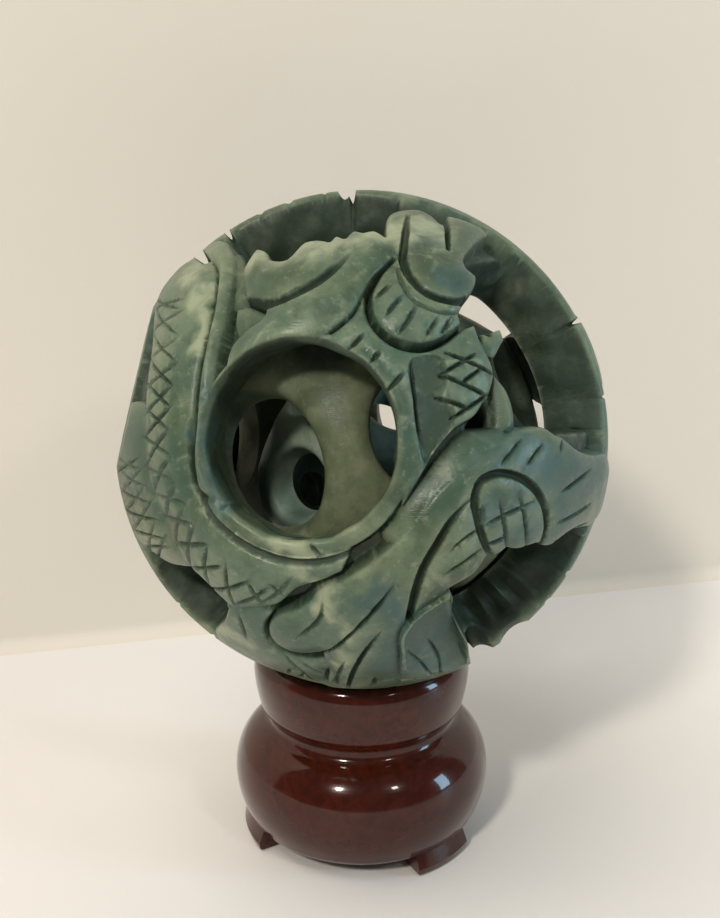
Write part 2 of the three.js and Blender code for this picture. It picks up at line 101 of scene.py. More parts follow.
def distance(places, line, closed=True):
    """How far each place is from a line, positive inside a closed one, and how far along the line it lies, 0 to 1."""
    starts = line if closed else line[:-1]
    ends = np.roll(line, -1, 0) if closed else line[1:]
    lengths = np.hypot(*(ends - starts).T)
    before = np.cumsum(lengths) - lengths
    total = lengths.sum()
    best = np.full(len(places), 1e9)
    along = np.zeros(len(places))
    inside = np.zeros(len(places), bool)
    x, y = places.T
    for (ax, ay), (bx, by), length, run in zip(starts, ends, lengths, before):
        dx, dy = bx - ax, by - ay
        t = np.clip(((x - ax) * dx + (y - ay) * dy) / max(length * length, 1e-12), 0, 1)
        gap = (x - ax - t * dx) ** 2 + (y - ay - t * dy) ** 2
        closer = gap < best
        best = np.where(closer, gap, best)
        along = np.where(closer, (run + t * length) / total, along)
        if closed and dy:
            inside ^= ((ay > y) != (by > y)) & (x < ax + (y - ay) * dx / dy)
    best = np.sqrt(best)
    return (np.where(inside, best, -best) if closed else best), along


def circle(centre, radius, parts=90):
    """A round outline on a chart."""
    return [(centre[0] + radius * math.cos(a), centre[1] + radius * math.sin(a))
            for a in np.arange(parts) * 2 * math.pi / parts]


class Carving:
    """Everything cut on one chart: raised forms, sunk places, lines and openings, each kept near its own outline."""

    def __init__(self, chart):
        self.chart = chart
        self.forms = []
        self.sunk = []
        self.flats = []
        self.lines = []
        self.holes = []

    def form(self, points, level, crown=0.8, width=5.0, edge=0.45, step=1.1):
        """Stone left standing to a level, crowned toward its middle."""
        self.forms.append((curve(points, step), level, crown, width, edge))

    def line(self, points, width, depth, taper=(1, 1)):
        """A line cut with a chisel, its ends run out by the taper."""
        self.lines.append((curve(points, 0.9, False), width, depth, taper))

    def near(self, places, line, reach):
        low, high = line.min(0) - reach, line.max(0) + reach
        return np.nonzero(((places >= low) & (places <= high)).all(1))[0]

    def height(self, places, ground):
        """Radius of the carved surface at each place, before lines are cut."""
        radius = ground.copy()
        for line, level, crown, width, edge in self.forms:
            some = self.near(places, line, 3)
            if not len(some):
                continue
            gap, _ = distance(places[some], line)
            swell = crown * (1 - (1 - np.clip(gap / width, 0, 1)) ** 2)
            soft = edge - np.sqrt(np.maximum(edge**2 - (edge - np.clip(gap, 0, edge)) ** 2, 0))
            top = level - crown + swell - soft
            top = np.where(gap < 0, level - crown - edge + 3.2 * gap, top)
            radius[some] = np.maximum(radius[some], top)
        for line, level in self.sunk:
            some = self.near(places, line, 2)
            if len(some):
                gap, _ = distance(places[some], line)
                radius[some] = np.minimum(radius[some], level + np.maximum(-1.6 * gap, 0))
        for line, way, reach in self.flats:
            some = self.near(places, line, 0)
            if len(some):
                gap, _ = distance(places[some], line)
                flat = reach / np.maximum(roll(self.chart, places[some]) @ way, 0.1)
                flat += 3.2 * np.maximum(1 - gap, 0)
                radius[some] = np.where(gap > 0, np.minimum(radius[some], flat), radius[some])
        return radius

    def cut(self, places):
        """Depth of the lines at each place."""
        depth = np.zeros(len(places))
        for line, width, deep, taper in self.lines:
            some = self.near(places, line, width)
            if not len(some):
                continue
            gap, along = distance(places[some], line, False)
            run = np.minimum(1, np.minimum(taper[0] + 3 * along, taper[1] + 3 * (1 - along)))
            share = gap / np.maximum(width / 2 * (0.4 + 0.6 * run), 1e-6)
            depth[some] = np.maximum(depth[some], deep * run * np.clip(1 - share**2, 0, 1))
        return depth

    def wall(self, places):
        """Distance to the nearest opening: positive in the stone."""
        clear = np.full(len(places), 9.0)
        for line in self.holes:
            some = self.near(places, line, 9)
            if len(some):
                clear[some] = np.minimum(clear[some], -distance(places[some], line)[0])
        return clear


front = Carving(FRONT)
scaled_band = [
    (-37.4, 43), (-45, 48.3), (-52.9, 44.4), (-55.4, 35.9), (-48.3, 30.2), (-39.7, 16.3), (-39.3, 9.6),
    (-38.9, 1.5), (-38.7, -3.7), (-37.7, -8.4), (-34.5, -14), (-33.2, -19), (-30.4, -22.9), (-27.8, -25.2),
    (-25.2, -27.7), (-22.6, -30), (-17.5, -28.8), (-14.4, -27.7), (-9.3, -23.2), (-6.2, -22), (-2.9, -20.2, 1),
    (-1.4, -16.3, 1), (-9, -17.8), (-14.8, -17.1), (-19.5, -14.1), (-22.6, -9.8), (-26.3, -8.6), (-27, -4.9),
    (-26.5, 2.8), (-26.2, 9.8), (-25.6, 15.9), (-25.2, 21.9), (-26.4, 29.8),
]
spike = [
    (-37, 43.3), (-34.7, 45.2), (-23.3, 31.7), (-22.5, 26.3), (-22.2, 18.9), (-22.9, 14.4), (-23.2, 10.1),
    (-23.8, 5.5), (-24.4, 1.2), (-24.4, -3.3), (-22.6, -9.8), (-26.3, -8.6), (-27, -4.9), (-26.5, 2.8),
    (-26.2, 9.8), (-25.6, 15.9), (-25.2, 21.9), (-26.4, 29.8),
]
leaf = [
    (-21.2, 8.1), (-20.9, 11), (-20.5, 13.6), (-18.4, 16.5), (-15, 19.2), (-14.8, 20.4, 1), (-18, 21.9),
    (-19.8, 25.9), (-20.2, 30.7), (-18.5, 33.9), (-16.4, 32.7), (-15.3, 30.5), (-12.6, 29.9), (-11.4, 31.6),
    (-9.9, 33.6), (-7.2, 33.9), (-5.5, 33.3, 1), (-4.4, 34.8), (-2.9, 34, 1), (-1.3, 36.1), (0.2, 35.6, 1),
    (2.1, 36.1), (4.5, 34), (6.2, 31.2, 1), (4, 27.9), (1.7, 25.1), (0.1, 21.8), (-1.4, 18.9), (-4.1, 16.4),
    (-7.6, 13.7, 1), (-9.4, 11.6), (-14.4, 11), (-18.3, 7.8),
]
crest = [
    (4.1, 31.7), (4, 36.8), (5.2, 41.8), (7.6, 43.7), (11.2, 44.7), (13.7, 42.9), (14.8, 40.2, 1),
    (16.9, 44.9, 1), (21.9, 44.3), (26.4, 42.5, 1), (19.9, 34.6), (17.6, 30.3), (17.8, 28.7), (19.4, 27.1),
    (18.6, 24.7), (16.3, 21.8, 1), (15.7, 18.1), (12.9, 15.7), (9.5, 14.1), (5.5, 14.4), (2.4, 17),
    (1.5, 20.7), (2.8, 24.9), (5.7, 29.1, 1),
]
fan = [
    (-16.2, -32.7), (-14.1, -29.4), (-11, -28), (-8.6, -26.1), (-6.2, -23.1), (-2.4, -21.2), (2.7, -17.6),
    (6.9, -13), (11.1, -7.6), (15.5, -3.7), (20.3, -0.7), (24.7, 1.3), (28.7, 2), (32.6, 0.7), (38.2, -1.9),
    (56.9, -3, 1), (63.8, -4.5), (66.5, -14.1), (60.5, -20.8), (53.4, -20, 1), (39.4, -17.4), (31.9, -18.9),
    (29.7, -17.9, 1), (27.7, -18.1), (25.9, -18.4), (23.4, -17.7, 1), (22.2, -18.6), (19.7, -18.8, 1),
    (18.6, -20.9), (13.8, -24.2), (10.5, -27.1), (7.6, -29.6), (6.7, -32.8), (7, -37.5), (10.9, -56),
    (11.5, -65), (-12.6, -64.8), (-11.1, -56.9), (-6.7, -43.8), (-6.9, -37.8, 1), (-9.8, -38.8),
    (-13.8, -38.7), (-16.1, -36),
]
neck = [
    (0.4, 22.3, 1), (0.8, 18.2), (2.6, 15.2), (5.3, 13.3), (9.5, 12.9), (12.5, 14.2), (16.3, 17.5, 1),
    (18, 18.2, 1), (18.9, 15.3), (20.6, 9.9), (19.4, 6.2, 1), (17.7, 3.9), (13.3, 1), (10.7, -2.1),
    (8.7, -5.6), (6, -10.1, 1), (5.3, -4.4), (5.6, 1.1), (4.2, 7.3), (0.5, 12.4), (-5.9, 13.2),
    (-7.3, 13.8, 1), (-4.1, 15.9), (-1.4, 18.4),
]
outer_band = [
    (-38.9, 5.7), (-35.6, 3.1), (-34.4, -5.2), (-31.8, -13.5), (-28.7, -20.3), (-30.2, -23.3), (-34.8, -24.6),
    (-40.2, -25.2), (-44.8, -25), (-49.9, -27.6), (-59.5, -33), (-68.9, -12.2), (-67.5, 8.3), (-56.4, 7.9),
]
NECK_NET = (
    ((12.5, 12.7), (20.2, 10)), ((11.6, 9.3), (18.9, 6.4)), ((11, 5.9), (15.9, 4.3)), ((17.4, 12.8), (12.1, 9.6)),
    ((18.2, 10.6), (14.9, 8.2)), ((19.3, 6.7), (13.3, 2.9)),
)
TOE_WAY = roll(FRONT, (22.6, -27.4))[0]  # the way the chopped face of the toe looks
TOE_REACH = 35.8
lower_block = [
    (-24.1, -29.3), (-19.4, -28.7), (-14.7, -28), (-17, -32.6), (-16.6, -38.4), (-11.2, -40.8), (-5.6, -40.3),
    (-6, -45.2), (-9.1, -57.3), (-10.6, -67.2), (-40.9, -54.3), (-33.5, -46.1),
]
toe = [
    (7, -37.5, 1), (6.6, -32.3), (8, -29.2), (12.3, -25.7), (15.2, -25), (16.9, -28.4), (17.9, -32.3),
    (19.5, -37.8), (21.7, -43.9), (25.7, -52), (29.8, -61.1), (7.1, -67.6), (7.9, -56.4),
]
wedge = [
    (-20.8, 21.6, 1), (-18, 21.7, 1), (-15.1, 19.9), (-14, 18.9), (-16, 17.4), (-18.3, 15.5), (-19.8, 15.8, 1),
    (-20.8, 19),
]
strut = [
    (18.7, 15.4), (20.8, 11.6), (24.1, 8), (25.4, 3.6), (25.3, 0.4, 1), (21, -0.3, 1), (21.1, 3), (20.9, 6.2),
    (20.4, 9),
]
tooth = [
    (18.9, 13.2, 1), (19.4, 16.4, 1), (19.6, 17.2, 1), (20.9, 16.9, 1), (21.2, 17.7, 1), (23.4, 18.6, 1),
    (24, 16.3, 1), (22.2, 12.8, 1),
]
back_face = [
    (-27, 39.1), (-24.5, 37.6, 1), (-20.8, 30.9), (-19.9, 26.8), (-18.7, 23.1), (-18.8, 21.3, 1),
    (-21.6, 21.5), (-23.8, 26.7),
]
sunk_facet = [
    (7.7, 11.5), (11.6, 11.8), (12.1, 10), (11.9, 8), (11.1, 5.8), (13.1, 4.2, 1), (13.4, 2), (12.4, 0.2),
    (11.4, -0.6), (9.3, -3.6, 1), (8.4, 0.2), (7.8, 5.8),
]
fan_bevel = [
    (2.9, -13.4), (4.5, -10.9), (6.7, -8.2), (9.4, -5.6), (12.5, -2.1), (16.1, 1.1), (19.1, 1.4), (22.5, 2, 1),
    (28.3, 0.4), (20.8, -4.8), (14.7, -9), (10.1, -15), (6.6, -20.6, 1),
]
RING_CENTRE = (-9.4, -1)
RING_EDGE = 17.3
RING_HOLE_CENTRE = (-9.9, -0.7)
RING_HOLE = 14.1  # radius of the straight drilled hole
RING_HOLE_ARC = CHART_RADIUS * math.asin(RING_HOLE / 38.4)
front.form(scaled_band, 39.9, 1.3, 6.5, 0.6)
front.form(spike, 39.4, 1.5, 2.6, 0.4)
front.form(leaf, 39.9, 1.2, 5.5, 0.5)
front.form(crest, 39.9, 1.1, 4.5, 0.5)
front.form(fan, 39.9, 1.0, 5, 0.5)
front.form(neck, 38.8, 0.7, 4, 0.4)
front.form(outer_band, 39.4, 1.4, 8, 0.6)
front.form(lower_block, 39.4, 0.4, 3, 0.3)
front.form(toe, 39.9, 0, 1, 0.1)
front.form(wedge, 38.2, 0.5, 2, 0.4)
front.form(strut, 38.2, 1.6, 3.2, 0.6)
front.form(tooth, 37.9, 0.4, 1, 0.3)
front.form(fan_bevel, 38.9, 2.2, 4.4, 0.3)
front.form(back_face, 37.5, 0.6, 3, 0.4)
front.form(circle(RING_CENTRE, RING_EDGE), 38.5, 0.3, 1.2, 0.5, 9)
front.sunk.append((curve(sunk_facet), 37.8))
front.flats.append((curve(toe), TOE_WAY, TOE_REACH))
front_openings = [
    [
        (-24.2, 37.4, 1), (-20.9, 31.2), (-20.1, 30.2, 1), (-18.5, 33.9), (-16.4, 32.7), (-15.3, 30.5),
        (-12.6, 29.9), (-11.4, 31.6), (-9.9, 33.6), (-7.2, 33.9), (-5.5, 33.3, 1), (-4.4, 34.8), (-2.9, 34, 1),
        (-1.3, 36.1), (0.2, 35.6, 1), (2.1, 36.1), (4.2, 34.3, 1), (4, 36.8), (5.2, 41.8), (7.3, 44.6),
        (8.5, 53.8, 1), (1.9, 55.3), (-4.8, 55.3), (-14.4, 53.6), (-23.4, 50.1), (-29.1, 46.6),
    ],
    [
        (17.6, 30.3, 1), (17.8, 28.7), (19.4, 27.1), (18.6, 24.7), (16.3, 21.8, 1), (15.4, 18),
        (16.3, 17.5, 1), (18, 18.2, 1), (18.9, 15.6, 1),
        (19.5, 17.2, 1), (20.9, 16.9, 1), (21.2, 17.7, 1), (23.4, 18.6, 1), (24, 16.3, 1), (21.6, 13.2, 1),
        (21.4, 11.6), (24.1, 8), (25.4, 3.6), (25.3, 1.4, 1),
        (28.7, 2), (32.6, 0.7, 1), (54.5, 1.9, 1), (54, 9.5), (51.7, 18.8), (47.6, 27.5), (42, 35.2),
        (34.7, 41.4), (26.7, 37.8), (21.4, 34.3),
    ],
    [
        (49.8, -22.2, 1), (39.4, -17.4), (31.9, -18.9), (29.7, -17.9, 1), (27.7, -18.1), (25.9, -18.4),
        (23.4, -17.7, 1), (22.2, -18.6), (19.7, -18.8, 1), (18.6, -20.9), (13.8, -24.2, 1), (16.2, -28.2),
        (17.1, -32.1), (19.1, -37, 1), (28.1, -44.9), (36.1, -40.1), (43.3, -33.9), (47.6, -27.5),
    ],
    [
        (-43.3, -25.2), (-40.2, -25.2), (-34.8, -24.6), (-30.2, -23.3, 1), (-27.8, -25.2), (-25.2, -27.7),
        (-23.5, -30, 1), (-25.3, -33.3), (-36.1, -41.5), (-41.2, -37.1), (-46, -31),
    ],
    [
        (19.4, 5.6), (20.3, 4.1), (20.6, 1.8, 1), (16.7, 1.6, 1), (17.8, 3.5),
    ],
]
for opening in front_openings:
    front.holes.append(curve(opening, 0.9))
front.holes.append(np.array(circle(RING_HOLE_CENTRE, RING_HOLE_ARC, 120)))

# The main lines of the face: leaf, crest, slit, arch and fan, then the lower folds and the two notches of the rim
main_lines = [
    ([
        (-18, 22.1), (-14.8, 20.8), (-12, 20.9), (-8.9, 22.1), (-6, 24), (-3.6, 26.5), (-1.5, 29.2),
    ], 1.7, 1.1, (0.7, 0.2)),
    ([
        (8.2, 39.3), (7.1, 32.5), (6.6, 27.9), (7.4, 24.2), (9.4, 21.8), (11.8, 20.8), (14.2, 20.8),
        (16.6, 22.1),
    ], 1.5, 1.3, (0.4, 0.8)),
    ([
        (17.2, 47), (15.1, 36.9), (14.3, 31.2),
    ], 1.2, 1.3, (1, 0.7)),
    ([
        (20.4, -18.5), (18.5, -15.6), (17, -11.7), (16.4, -8.4), (17.4, -6.2), (20, -5.2), (23.2, -5.7),
        (26.4, -7.5), (29, -10.6), (30.3, -14.2), (30.8, -18.4),
    ], 1.5, 1.2, (0.6, 0.6)),
    ([
        (15.7, -8.9), (13, -11.8), (11, -15.4), (9.2, -18.8), (8.1, -23.2), (7.7, -29.1),
    ], 1.5, 1.4, (0.2, 0.9)),
    ([
        (4.8, -21.8), (2.8, -25), (0.1, -29), (-2.9, -33), (-7.5, -38.5),
    ], 0.9, 0.9, (0.3, 1)),
    ([
        (3.1, -30.8), (0.8, -35.3), (-1.2, -41.4), (-2.9, -53.8),
    ], 1.1, 1.1, (0.2, 1)),
    ([
        (-2, 52), (-2.4, 63), (-2.9, 75.9),
    ], 1.8, 2.2, (1, 1)),
    ([
        (45.6, 25), (55.3, 30.3), (66.7, 36.5),
    ], 1.3, 1.4, (1, 1)),
]
for points, width, depth, taper in main_lines:
    front.line(points, width, depth, taper)
front.line([circle(RING_CENTRE, RING_EDGE + 0.5, 90)[i] for i in range(42, 82)], 1.3, 0.8, (0.4, 0.4))
chisel_strokes = [
    [(2.2, 21), (3.3, 22), (4.5, 23.2)], [(3.6, 17.7), (4.8, 19.5), (6.1, 20.9)],
    [(5.4, 15.1), (6.8, 17.2), (8, 19.2)], [(9.3, 14.8), (10.4, 16.4), (11.4, 18.1)],
    [(11.7, 15.5), (12.7, 16.7), (13.4, 18.1)], [(0.5, 15.4), (-1.9, 13)], [(2.7, 12.7), (1.3, 11)],
    [(6.1, 9.4), (3.7, 6.8)], [(-21.8, -11.1), (-20.4, -9.3)], [(-7.6, -16), (-6.2, -17.7)],
    [(24.6, -0.1), (22.6, -2), (20.5, -3.9)], [(28.4, -0.9), (26.7, -2.4), (25, -4.1)],
    [(41.5, -5.5), (37.2, -7.1), (32.7, -8.8)], [(42.8, -12), (37, -13.4), (32.5, -14.1)],
    [(45.2, -16.7), (38.9, -17), (34.1, -18.2)], [(33.4, -0.4), (32.2, -2.2)],
    [(20.4, -8.7), (21.2, -11.5), (22.2, -14.9), (23, -17.3)],
    [(23.7, -8.1), (25, -11.4), (26.2, -15.3), (27.1, -17.9)],
    [(18, -13), (20.8, -11.8), (24, -10.7), (26.8, -9.8)], [(19, -16.2), (22.3, -15.2)],
    [(17.5, -9.8), (18, -12.7)], [(17.7, -13.3), (15.3, -14.7), (12.9, -16.8)],
    [(18.2, -16.7), (15.5, -18.6), (12.4, -20.4)], [(15.7, -9.4), (16.9, -11.1)],
    [(-6, -25), (-6.3, -27.8), (-8.5, -30.8), (-10.7, -33.1)], [(-14.4, -40), (-12, -45.7), (-9.9, -55.6)],
    [(-11.4, -41.7), (-7.1, -46)], [(-2.9, -38.7), (-6.1, -52.2)], [(-21.1, -30.6), (-21.2, -36.9)],
]
for points in chisel_strokes:
    front.line(points, 0.9, 0.65, (0.25, 0.25))


def uneven(number, size=1.0):
    """A steady but irregular value between -size and size for each number."""
    return size * math.sin(12.9898 * number + 4.1414)


def scales(carving, outer, inner, count, lead, width=0.95, depth=0.65, turn=0):
    """Two crossing rows of uneven strokes between two lines, which leave diamond scales."""
    outside = curve(outer, 0.5, False)
    inside = curve(inner, 0.5, False)

    def spot(line, share):
        place = np.clip(share, 0, 1) * (len(line) - 1)
        return line[int(place)] + (line[min(int(place) + 1, len(line) - 1)] - line[int(place)]) * (place % 1)

    for k in range(count):
        for sign in (1, -1):
            off = uneven(3 * k + sign + turn, 0.1)
            share = (k + 0.5 + off) / count
            a, b = spot(outside, share - sign * lead / count), spot(inside, share + sign * lead / count)
            first, last = 0.02 + uneven(5 * k + sign, 0.06), 0.98 + uneven(7 * k - sign, 0.06)
            bow = (b - a)[::-1] * [-1, 1] * uneven(k + 2 * sign, 0.05)
            start, end = a + (b - a) * first, a + (b - a) * last
            carving.line([start, (start + end) / 2 + bow, end], width * (1 + uneven(k - sign, 0.2)),
                         depth * (1 + uneven(2 * k + sign, 0.25)), (0.3, 0.3))


scales(front, [(-42.8, 29.3), (-38.9, 17.2), (-38.6, 7.7), (-38.6, -0.2), (-37.4, -8.4), (-34.2, -13.9),
        (-32.7, -18.9), (-29.8, -22.8), (-26.2, -26), (-21.8, -28.2), (-16.8, -27.5), (-12.4, -25.2)],
       [(-30.2, 24.2), (-29.6, 15.3), (-30.1, 6.9), (-30.7, 0.5), (-30, -5), (-27.7, -10.5), (-25.4, -14.4),
        (-22.4, -18.5), (-18.5, -21.7), (-14.7, -22.6), (-10.4, -20.9)], 15, 0.55, 0.9, 0.55)
scales(front, [(-52, -3), (-52, -12), (-50, -20), (-46, -27)],
       [(-38.5, -3), (-37.6, -8.5), (-36, -14), (-33.5, -19)], 6, 0.6, 0.9, 0.5, turn=40)
front.line([(7.3, 11.4), (7.5, 8.2), (7.7, 5.4), (8.3, 1), (9.1, -1.6)], 0.8, 0.5, (0.4, 0.2))
for start, end in NECK_NET:
    front.line([start, end], 0.75, 0.75, (0.5, 0.5))
for points in ([(7.9, -38), (11.3, -42.6), (15.4, -50)], [(12.3, -37.4), (15.2, -43), (16, -49)]):
    front.line(points, 0.8, 0.5, (0.5, 0.5))
for across, top in ((-14.3, -46.2), (-11.6, -47.6), (-6.4, -43.8), (-4.4, -46.4), (2.6, -45)):
    front.line([(across, top), (1.08 * across - 0.4, -50.5)], 1.1, 0.8, (0.3, 1))
front.line([(3.6, -46.6), (9.5, -47.6), (16.5, -48.2), (20.5, -47.4)], 0.8, 0.5, (0.2, 0.2))
front.line([(5.6, 27), (5.9, 23.6), (7.4, 20.5), (10.3, 18.8), (13.8, 18.8), (15.6, 19.5)], 0.8, 0.5, (0.4, 0.4))

# The rim's own cuts: the valley and the notch beside the spike, then shallow nicks between the gouge's bites
for turn, start, width, depth in (
    (131.3, 46, 2.5, 2.4), (122.9, 49, 1.3, 1.6), (98.5, 56, 1.6, 0.35), (107, 55, 2.2, 0.4), (114, 55, 1.8, 0.35),
    (10, 55, 1.1, 0.5), (-33, 55, 2.0, 0.4), (-41, 56, 2.6, 0.3), (-51.5, 52, 8.5, 0.9), (-60.9, 50, 6.4, 1.6),
    (222, 56, 1.6, 0.4), (233, 56, 1.6, 0.35), (-62.7, 50, 2.6, 2.8), (93.9, 53, 3.2, 1.4),
):
    way = np.array([math.cos(math.radians(turn)), math.sin(math.radians(turn))])
    front.line([way * start, way * 63, way * 73], width, depth, (0.5, 0.5))

# The back, in keeping and plainer: a second ringed hole, the band's tail, a leaf and a fan, and its own openings
back = Carving(BACK)
BACK_RING = (-7, 3)
SIDE_HOLE = (42.5, 3)
back_band = [
    (54, 34), (44, 34), (32, 28), (20, 20), (13.5, 12), (12, 2), (8.5, -7), (2, -13), (-6, -15.5), (-15, -13.5),
    (-23, -9, 1), (-24, -17), (-17, -24), (-6, -28), (6, -27), (16, -22), (23, -14), (27, -5), (31, 6),
    (38, 16), (48, 20), (57, 19),
]
back_leaf = [
    (-4, 68, 1), (-3, 60), (-7, 48), (-5, 38), (0, 30), (8, 25, 1), (4, 20), (-6, 20), (-14, 18), (-21, 12),
    (-25, 4), (-29, -2, 1), (-33, 1), (-33, 10, 1), (-46, 12.5), (-66, 12), (-60, 36), (-54, 36.5, 1), (-42, 30),
    (-33, 22.5), (-27, 19.5, 1), (-20, 24.5), (-15, 31, 1), (-18, 39), (-24, 47), (-32, 60, 1), (-20, 68),
]
back_fan = [
    (-66, -4), (-45, -4), (-33, -4), (-27, -1), (-24, -6), (-26, -14), (-31, -20, 1), (-37, -18), (-42, -20, 1),
    (-49, -19.5), (-55, -23, 1), (-64, -26),
]
back.form(back_band, 39.8, 1.2, 6, 0.6)
back.form(back_leaf, 39.8, 1.1, 5, 0.5)
back.form(back_fan, 39.4, 1.0, 5, 0.5)
back.form(circle(BACK_RING, RING_EDGE), 38.5, 0.3, 1.2, 0.5, 9)
back.form(circle(SIDE_HOLE, 11.5), 38.4, 0.3, 1.5, 0.5, 9)
back_openings = [
    [(-15, 31, 1), (-20, 24.5), (-27, 19.5, 1), (-33, 22.5), (-42, 30), (-54, 36.5, 1), (-49, 43), (-41, 51),
     (-31, 58.5, 1), (-24, 46), (-17.5, 38.5)],
    [(-33, 10, 1), (-32, 4), (-33, -3, 1), (-45, -3.5), (-63, -3.5, 1), (-66, 4), (-65, 12, 1), (-46, 12.5)],
    [(-4, 28, 1), (4, 24), (12, 21, 1), (20, 28), (31, 36), (40, 42, 1), (38, 50), (22, 60), (10, 62.5),
     (-3, 63, 1), (-7, 48), (-5, 36)],
    [(25, -22, 1), (33, -16), (40, -21), (50, -25), (58, -30, 1), (54, -39), (46, -47), (36, -53, 1), (28, -44),
     (21, -32)],
    [(-24, -22, 1), (-31, -20, 1), (-37, -18), (-41, -20.5, 1), (-39, -26), (-35, -31.5), (-29, -37),
     (-24.5, -40, 1), (-21, -31)],
]
for opening in back_openings:
    back.holes.append(curve(opening, 1.0))
back.holes.append(np.array(circle(BACK_RING, RING_HOLE_ARC, 120)))
back.holes.append(np.array(circle(SIDE_HOLE, 8.5, 70)))
scales(back, [(40, 31), (28, 23), (18.5, 13), (16, 2), (10, -8), (2, -16), (-8, -19)],
       [(48, 24), (34, 16), (26, 6), (23, -6), (14, -18), (4, -23), (-8, -25)], 15, 0.6)
for points in (
    [(-12, 60), (-13, 46), (-9, 33), (-2, 25)], [(-20, 60), (-18, 48), (-13, 38), (-10, 27)],
    [(-60, 24), (-46, 20), (-34, 16), (-24, 9)], [(-58, 31), (-46, 25.5), (-36, 19)],
    [(-60, -12), (-46, -10), (-32, -9)], [(-56, -18), (-44, -15), (-32, -15)],
    [(50, 23.5), (56, 14), (58, 2), (56, -10), (51, -17.5)], [(55, 28), (60.5, 16), (62.3, 2), (60.5, -11),
     (56, -20)],
    [(61, 30), (65, 17), (66.5, 3), (65, -11)],
):
    back.line(points, 1.3, 1.0, (0.3, 0.2))


def carved_ball(ways):
    """Carved radius of the outer ball and how far inside the stone each direction is, both in mm."""
    on_front, on_back = unroll(FRONT, ways), unroll(BACK, ways)
    ground = GROUND_LEVEL + 0.12 * np.sin(on_front[:, 0] * 0.9) * np.sin(on_front[:, 1] * 0.8 + 1)
    rim_top = 39.4 + 0.7 * np.exp(-(((ways - [0.1, -0.2, 0.97]) / 0.55) ** 2).sum(1))
    arc = np.hypot(*on_front.T)
    gap = np.minimum(arc - 54.2, 74 - arc)
    rim = rim_top - 0.6 * (1 - np.clip(gap / 3, 0, 1)) ** 2 + 3 * np.minimum(gap, 0)
    below = CHART_RADIUS * np.arccos(np.clip(-ways[:, 2], -1, 1))
    seat = 39.6 + 3 * np.minimum(19.5 - below, 0)
    radius = np.maximum(np.maximum(ground, rim), seat)
    radius = front.height(on_front, radius)
    radius = back.height(on_back, radius)
    radius -= np.maximum(front.cut(on_front), back.cut(on_back))
    flat = roll(FRONT, (-54.6, 12.6))[0]
    radius = np.minimum(radius, 37.2 / np.maximum(ways @ flat, 0.1))
    stone = np.minimum(np.minimum(front.wall(on_front), back.wall(on_back)), below - 11)
    turn = np.arctan2(on_front[:, 1], on_front[:, 0])
    bites = 0.5 + 0.5 * np.sin(turn * 13 + 2 * np.sin(turn * 4 + 1)) * (0.7 + 0.3 * np.sin(turn * 5))
    rim_part = np.clip((arc - 50) / 2, 0, 1) * (arc < 60)
    stone += rim_part * (0.75 * bites - 0.4)
    x, y, z = ways.T * CHART_RADIUS
    stone += 0.16 * np.sin(x * 0.9 + 2 * np.sin(z * 0.3)) * np.sin(y * 0.8 + 1.5 * np.sin(x * 0.25)) * (1 - rim_part)
    edge = 0.9
    radius -= edge - np.sqrt(np.maximum(edge**2 - (edge - np.clip(stone, 0, edge)) ** 2, 0))
    return radius, stone


def globe(edge, radius):
    """An even net of triangles round a ball: directions and faces."""
    bm = bmesh.new()
    bmesh.ops.create_icosphere(bm, subdivisions=1, radius=1)
    ways = np.array([v.co[:] for v in bm.verts])
    faces = np.array([[v.index for v in f.verts] for f in bm.faces])
    bm.free()
    while np.linalg.norm(ways[faces[0, 0]] - ways[faces[0, 1]]) * radius > edge:
        ways, faces = split(ways, faces, np.ones((len(faces), 3), bool))
    return ways, faces


def edges_of(faces):
    """The net's edges, and which edge each side of each face is."""
    sides = np.sort(np.stack([faces, np.roll(faces, -1, 1)], 2).reshape(-1, 2), 1)
    keys, index = np.unique(sides[:, 0] * (faces.max() + 1) + sides[:, 1], return_inverse=True)
    edges = np.stack([keys // (faces.max() + 1), keys % (faces.max() + 1)], 1)
    return edges, index.reshape(-1, 3)


def split(ways, faces, marked):
    """Cuts the marked sides of the faces in two, and the faces with them."""
    edges, index = edges_of(faces)
    cut = np.zeros(len(edges), bool)
    cut[index[marked]] = True
    new = np.full(len(edges), -1)
    new[cut] = len(ways) + np.arange(cut.sum())
    middles = ways[edges[cut]].sum(1)
    ways = np.concatenate([ways, middles / np.linalg.norm(middles, axis=1, keepdims=True)])
    mids = new[index]
    parts = []
    number = (mids >= 0) @ [1, 2, 4]
    for turn in range(3):
        a, b, c = (faces[:, (turn + k) % 3] for k in range(3))
        ab, bc, ca = (mids[:, (turn + k) % 3] for k in range(3))
        one = number == 1 << turn
        parts += [np.stack([a, ab, c], 1)[one], np.stack([ab, b, c], 1)[one]]
        two = number == (1 << turn | 1 << (turn + 1) % 3)
        parts += [np.stack([ab, b, bc], 1)[two], np.stack([a, ab, bc], 1)[two], np.stack([a, bc, c], 1)[two]]
    a, b, c = faces[number == 7].T
    ab, bc, ca = mids[number == 7].T
    parts += [np.stack(t, 1) for t in ((a, ab, ca), (ab, b, bc), (ca, bc, c), (ab, bc, ca))]
    parts.append(faces[number == 0])
    return ways, np.concatenate(parts)


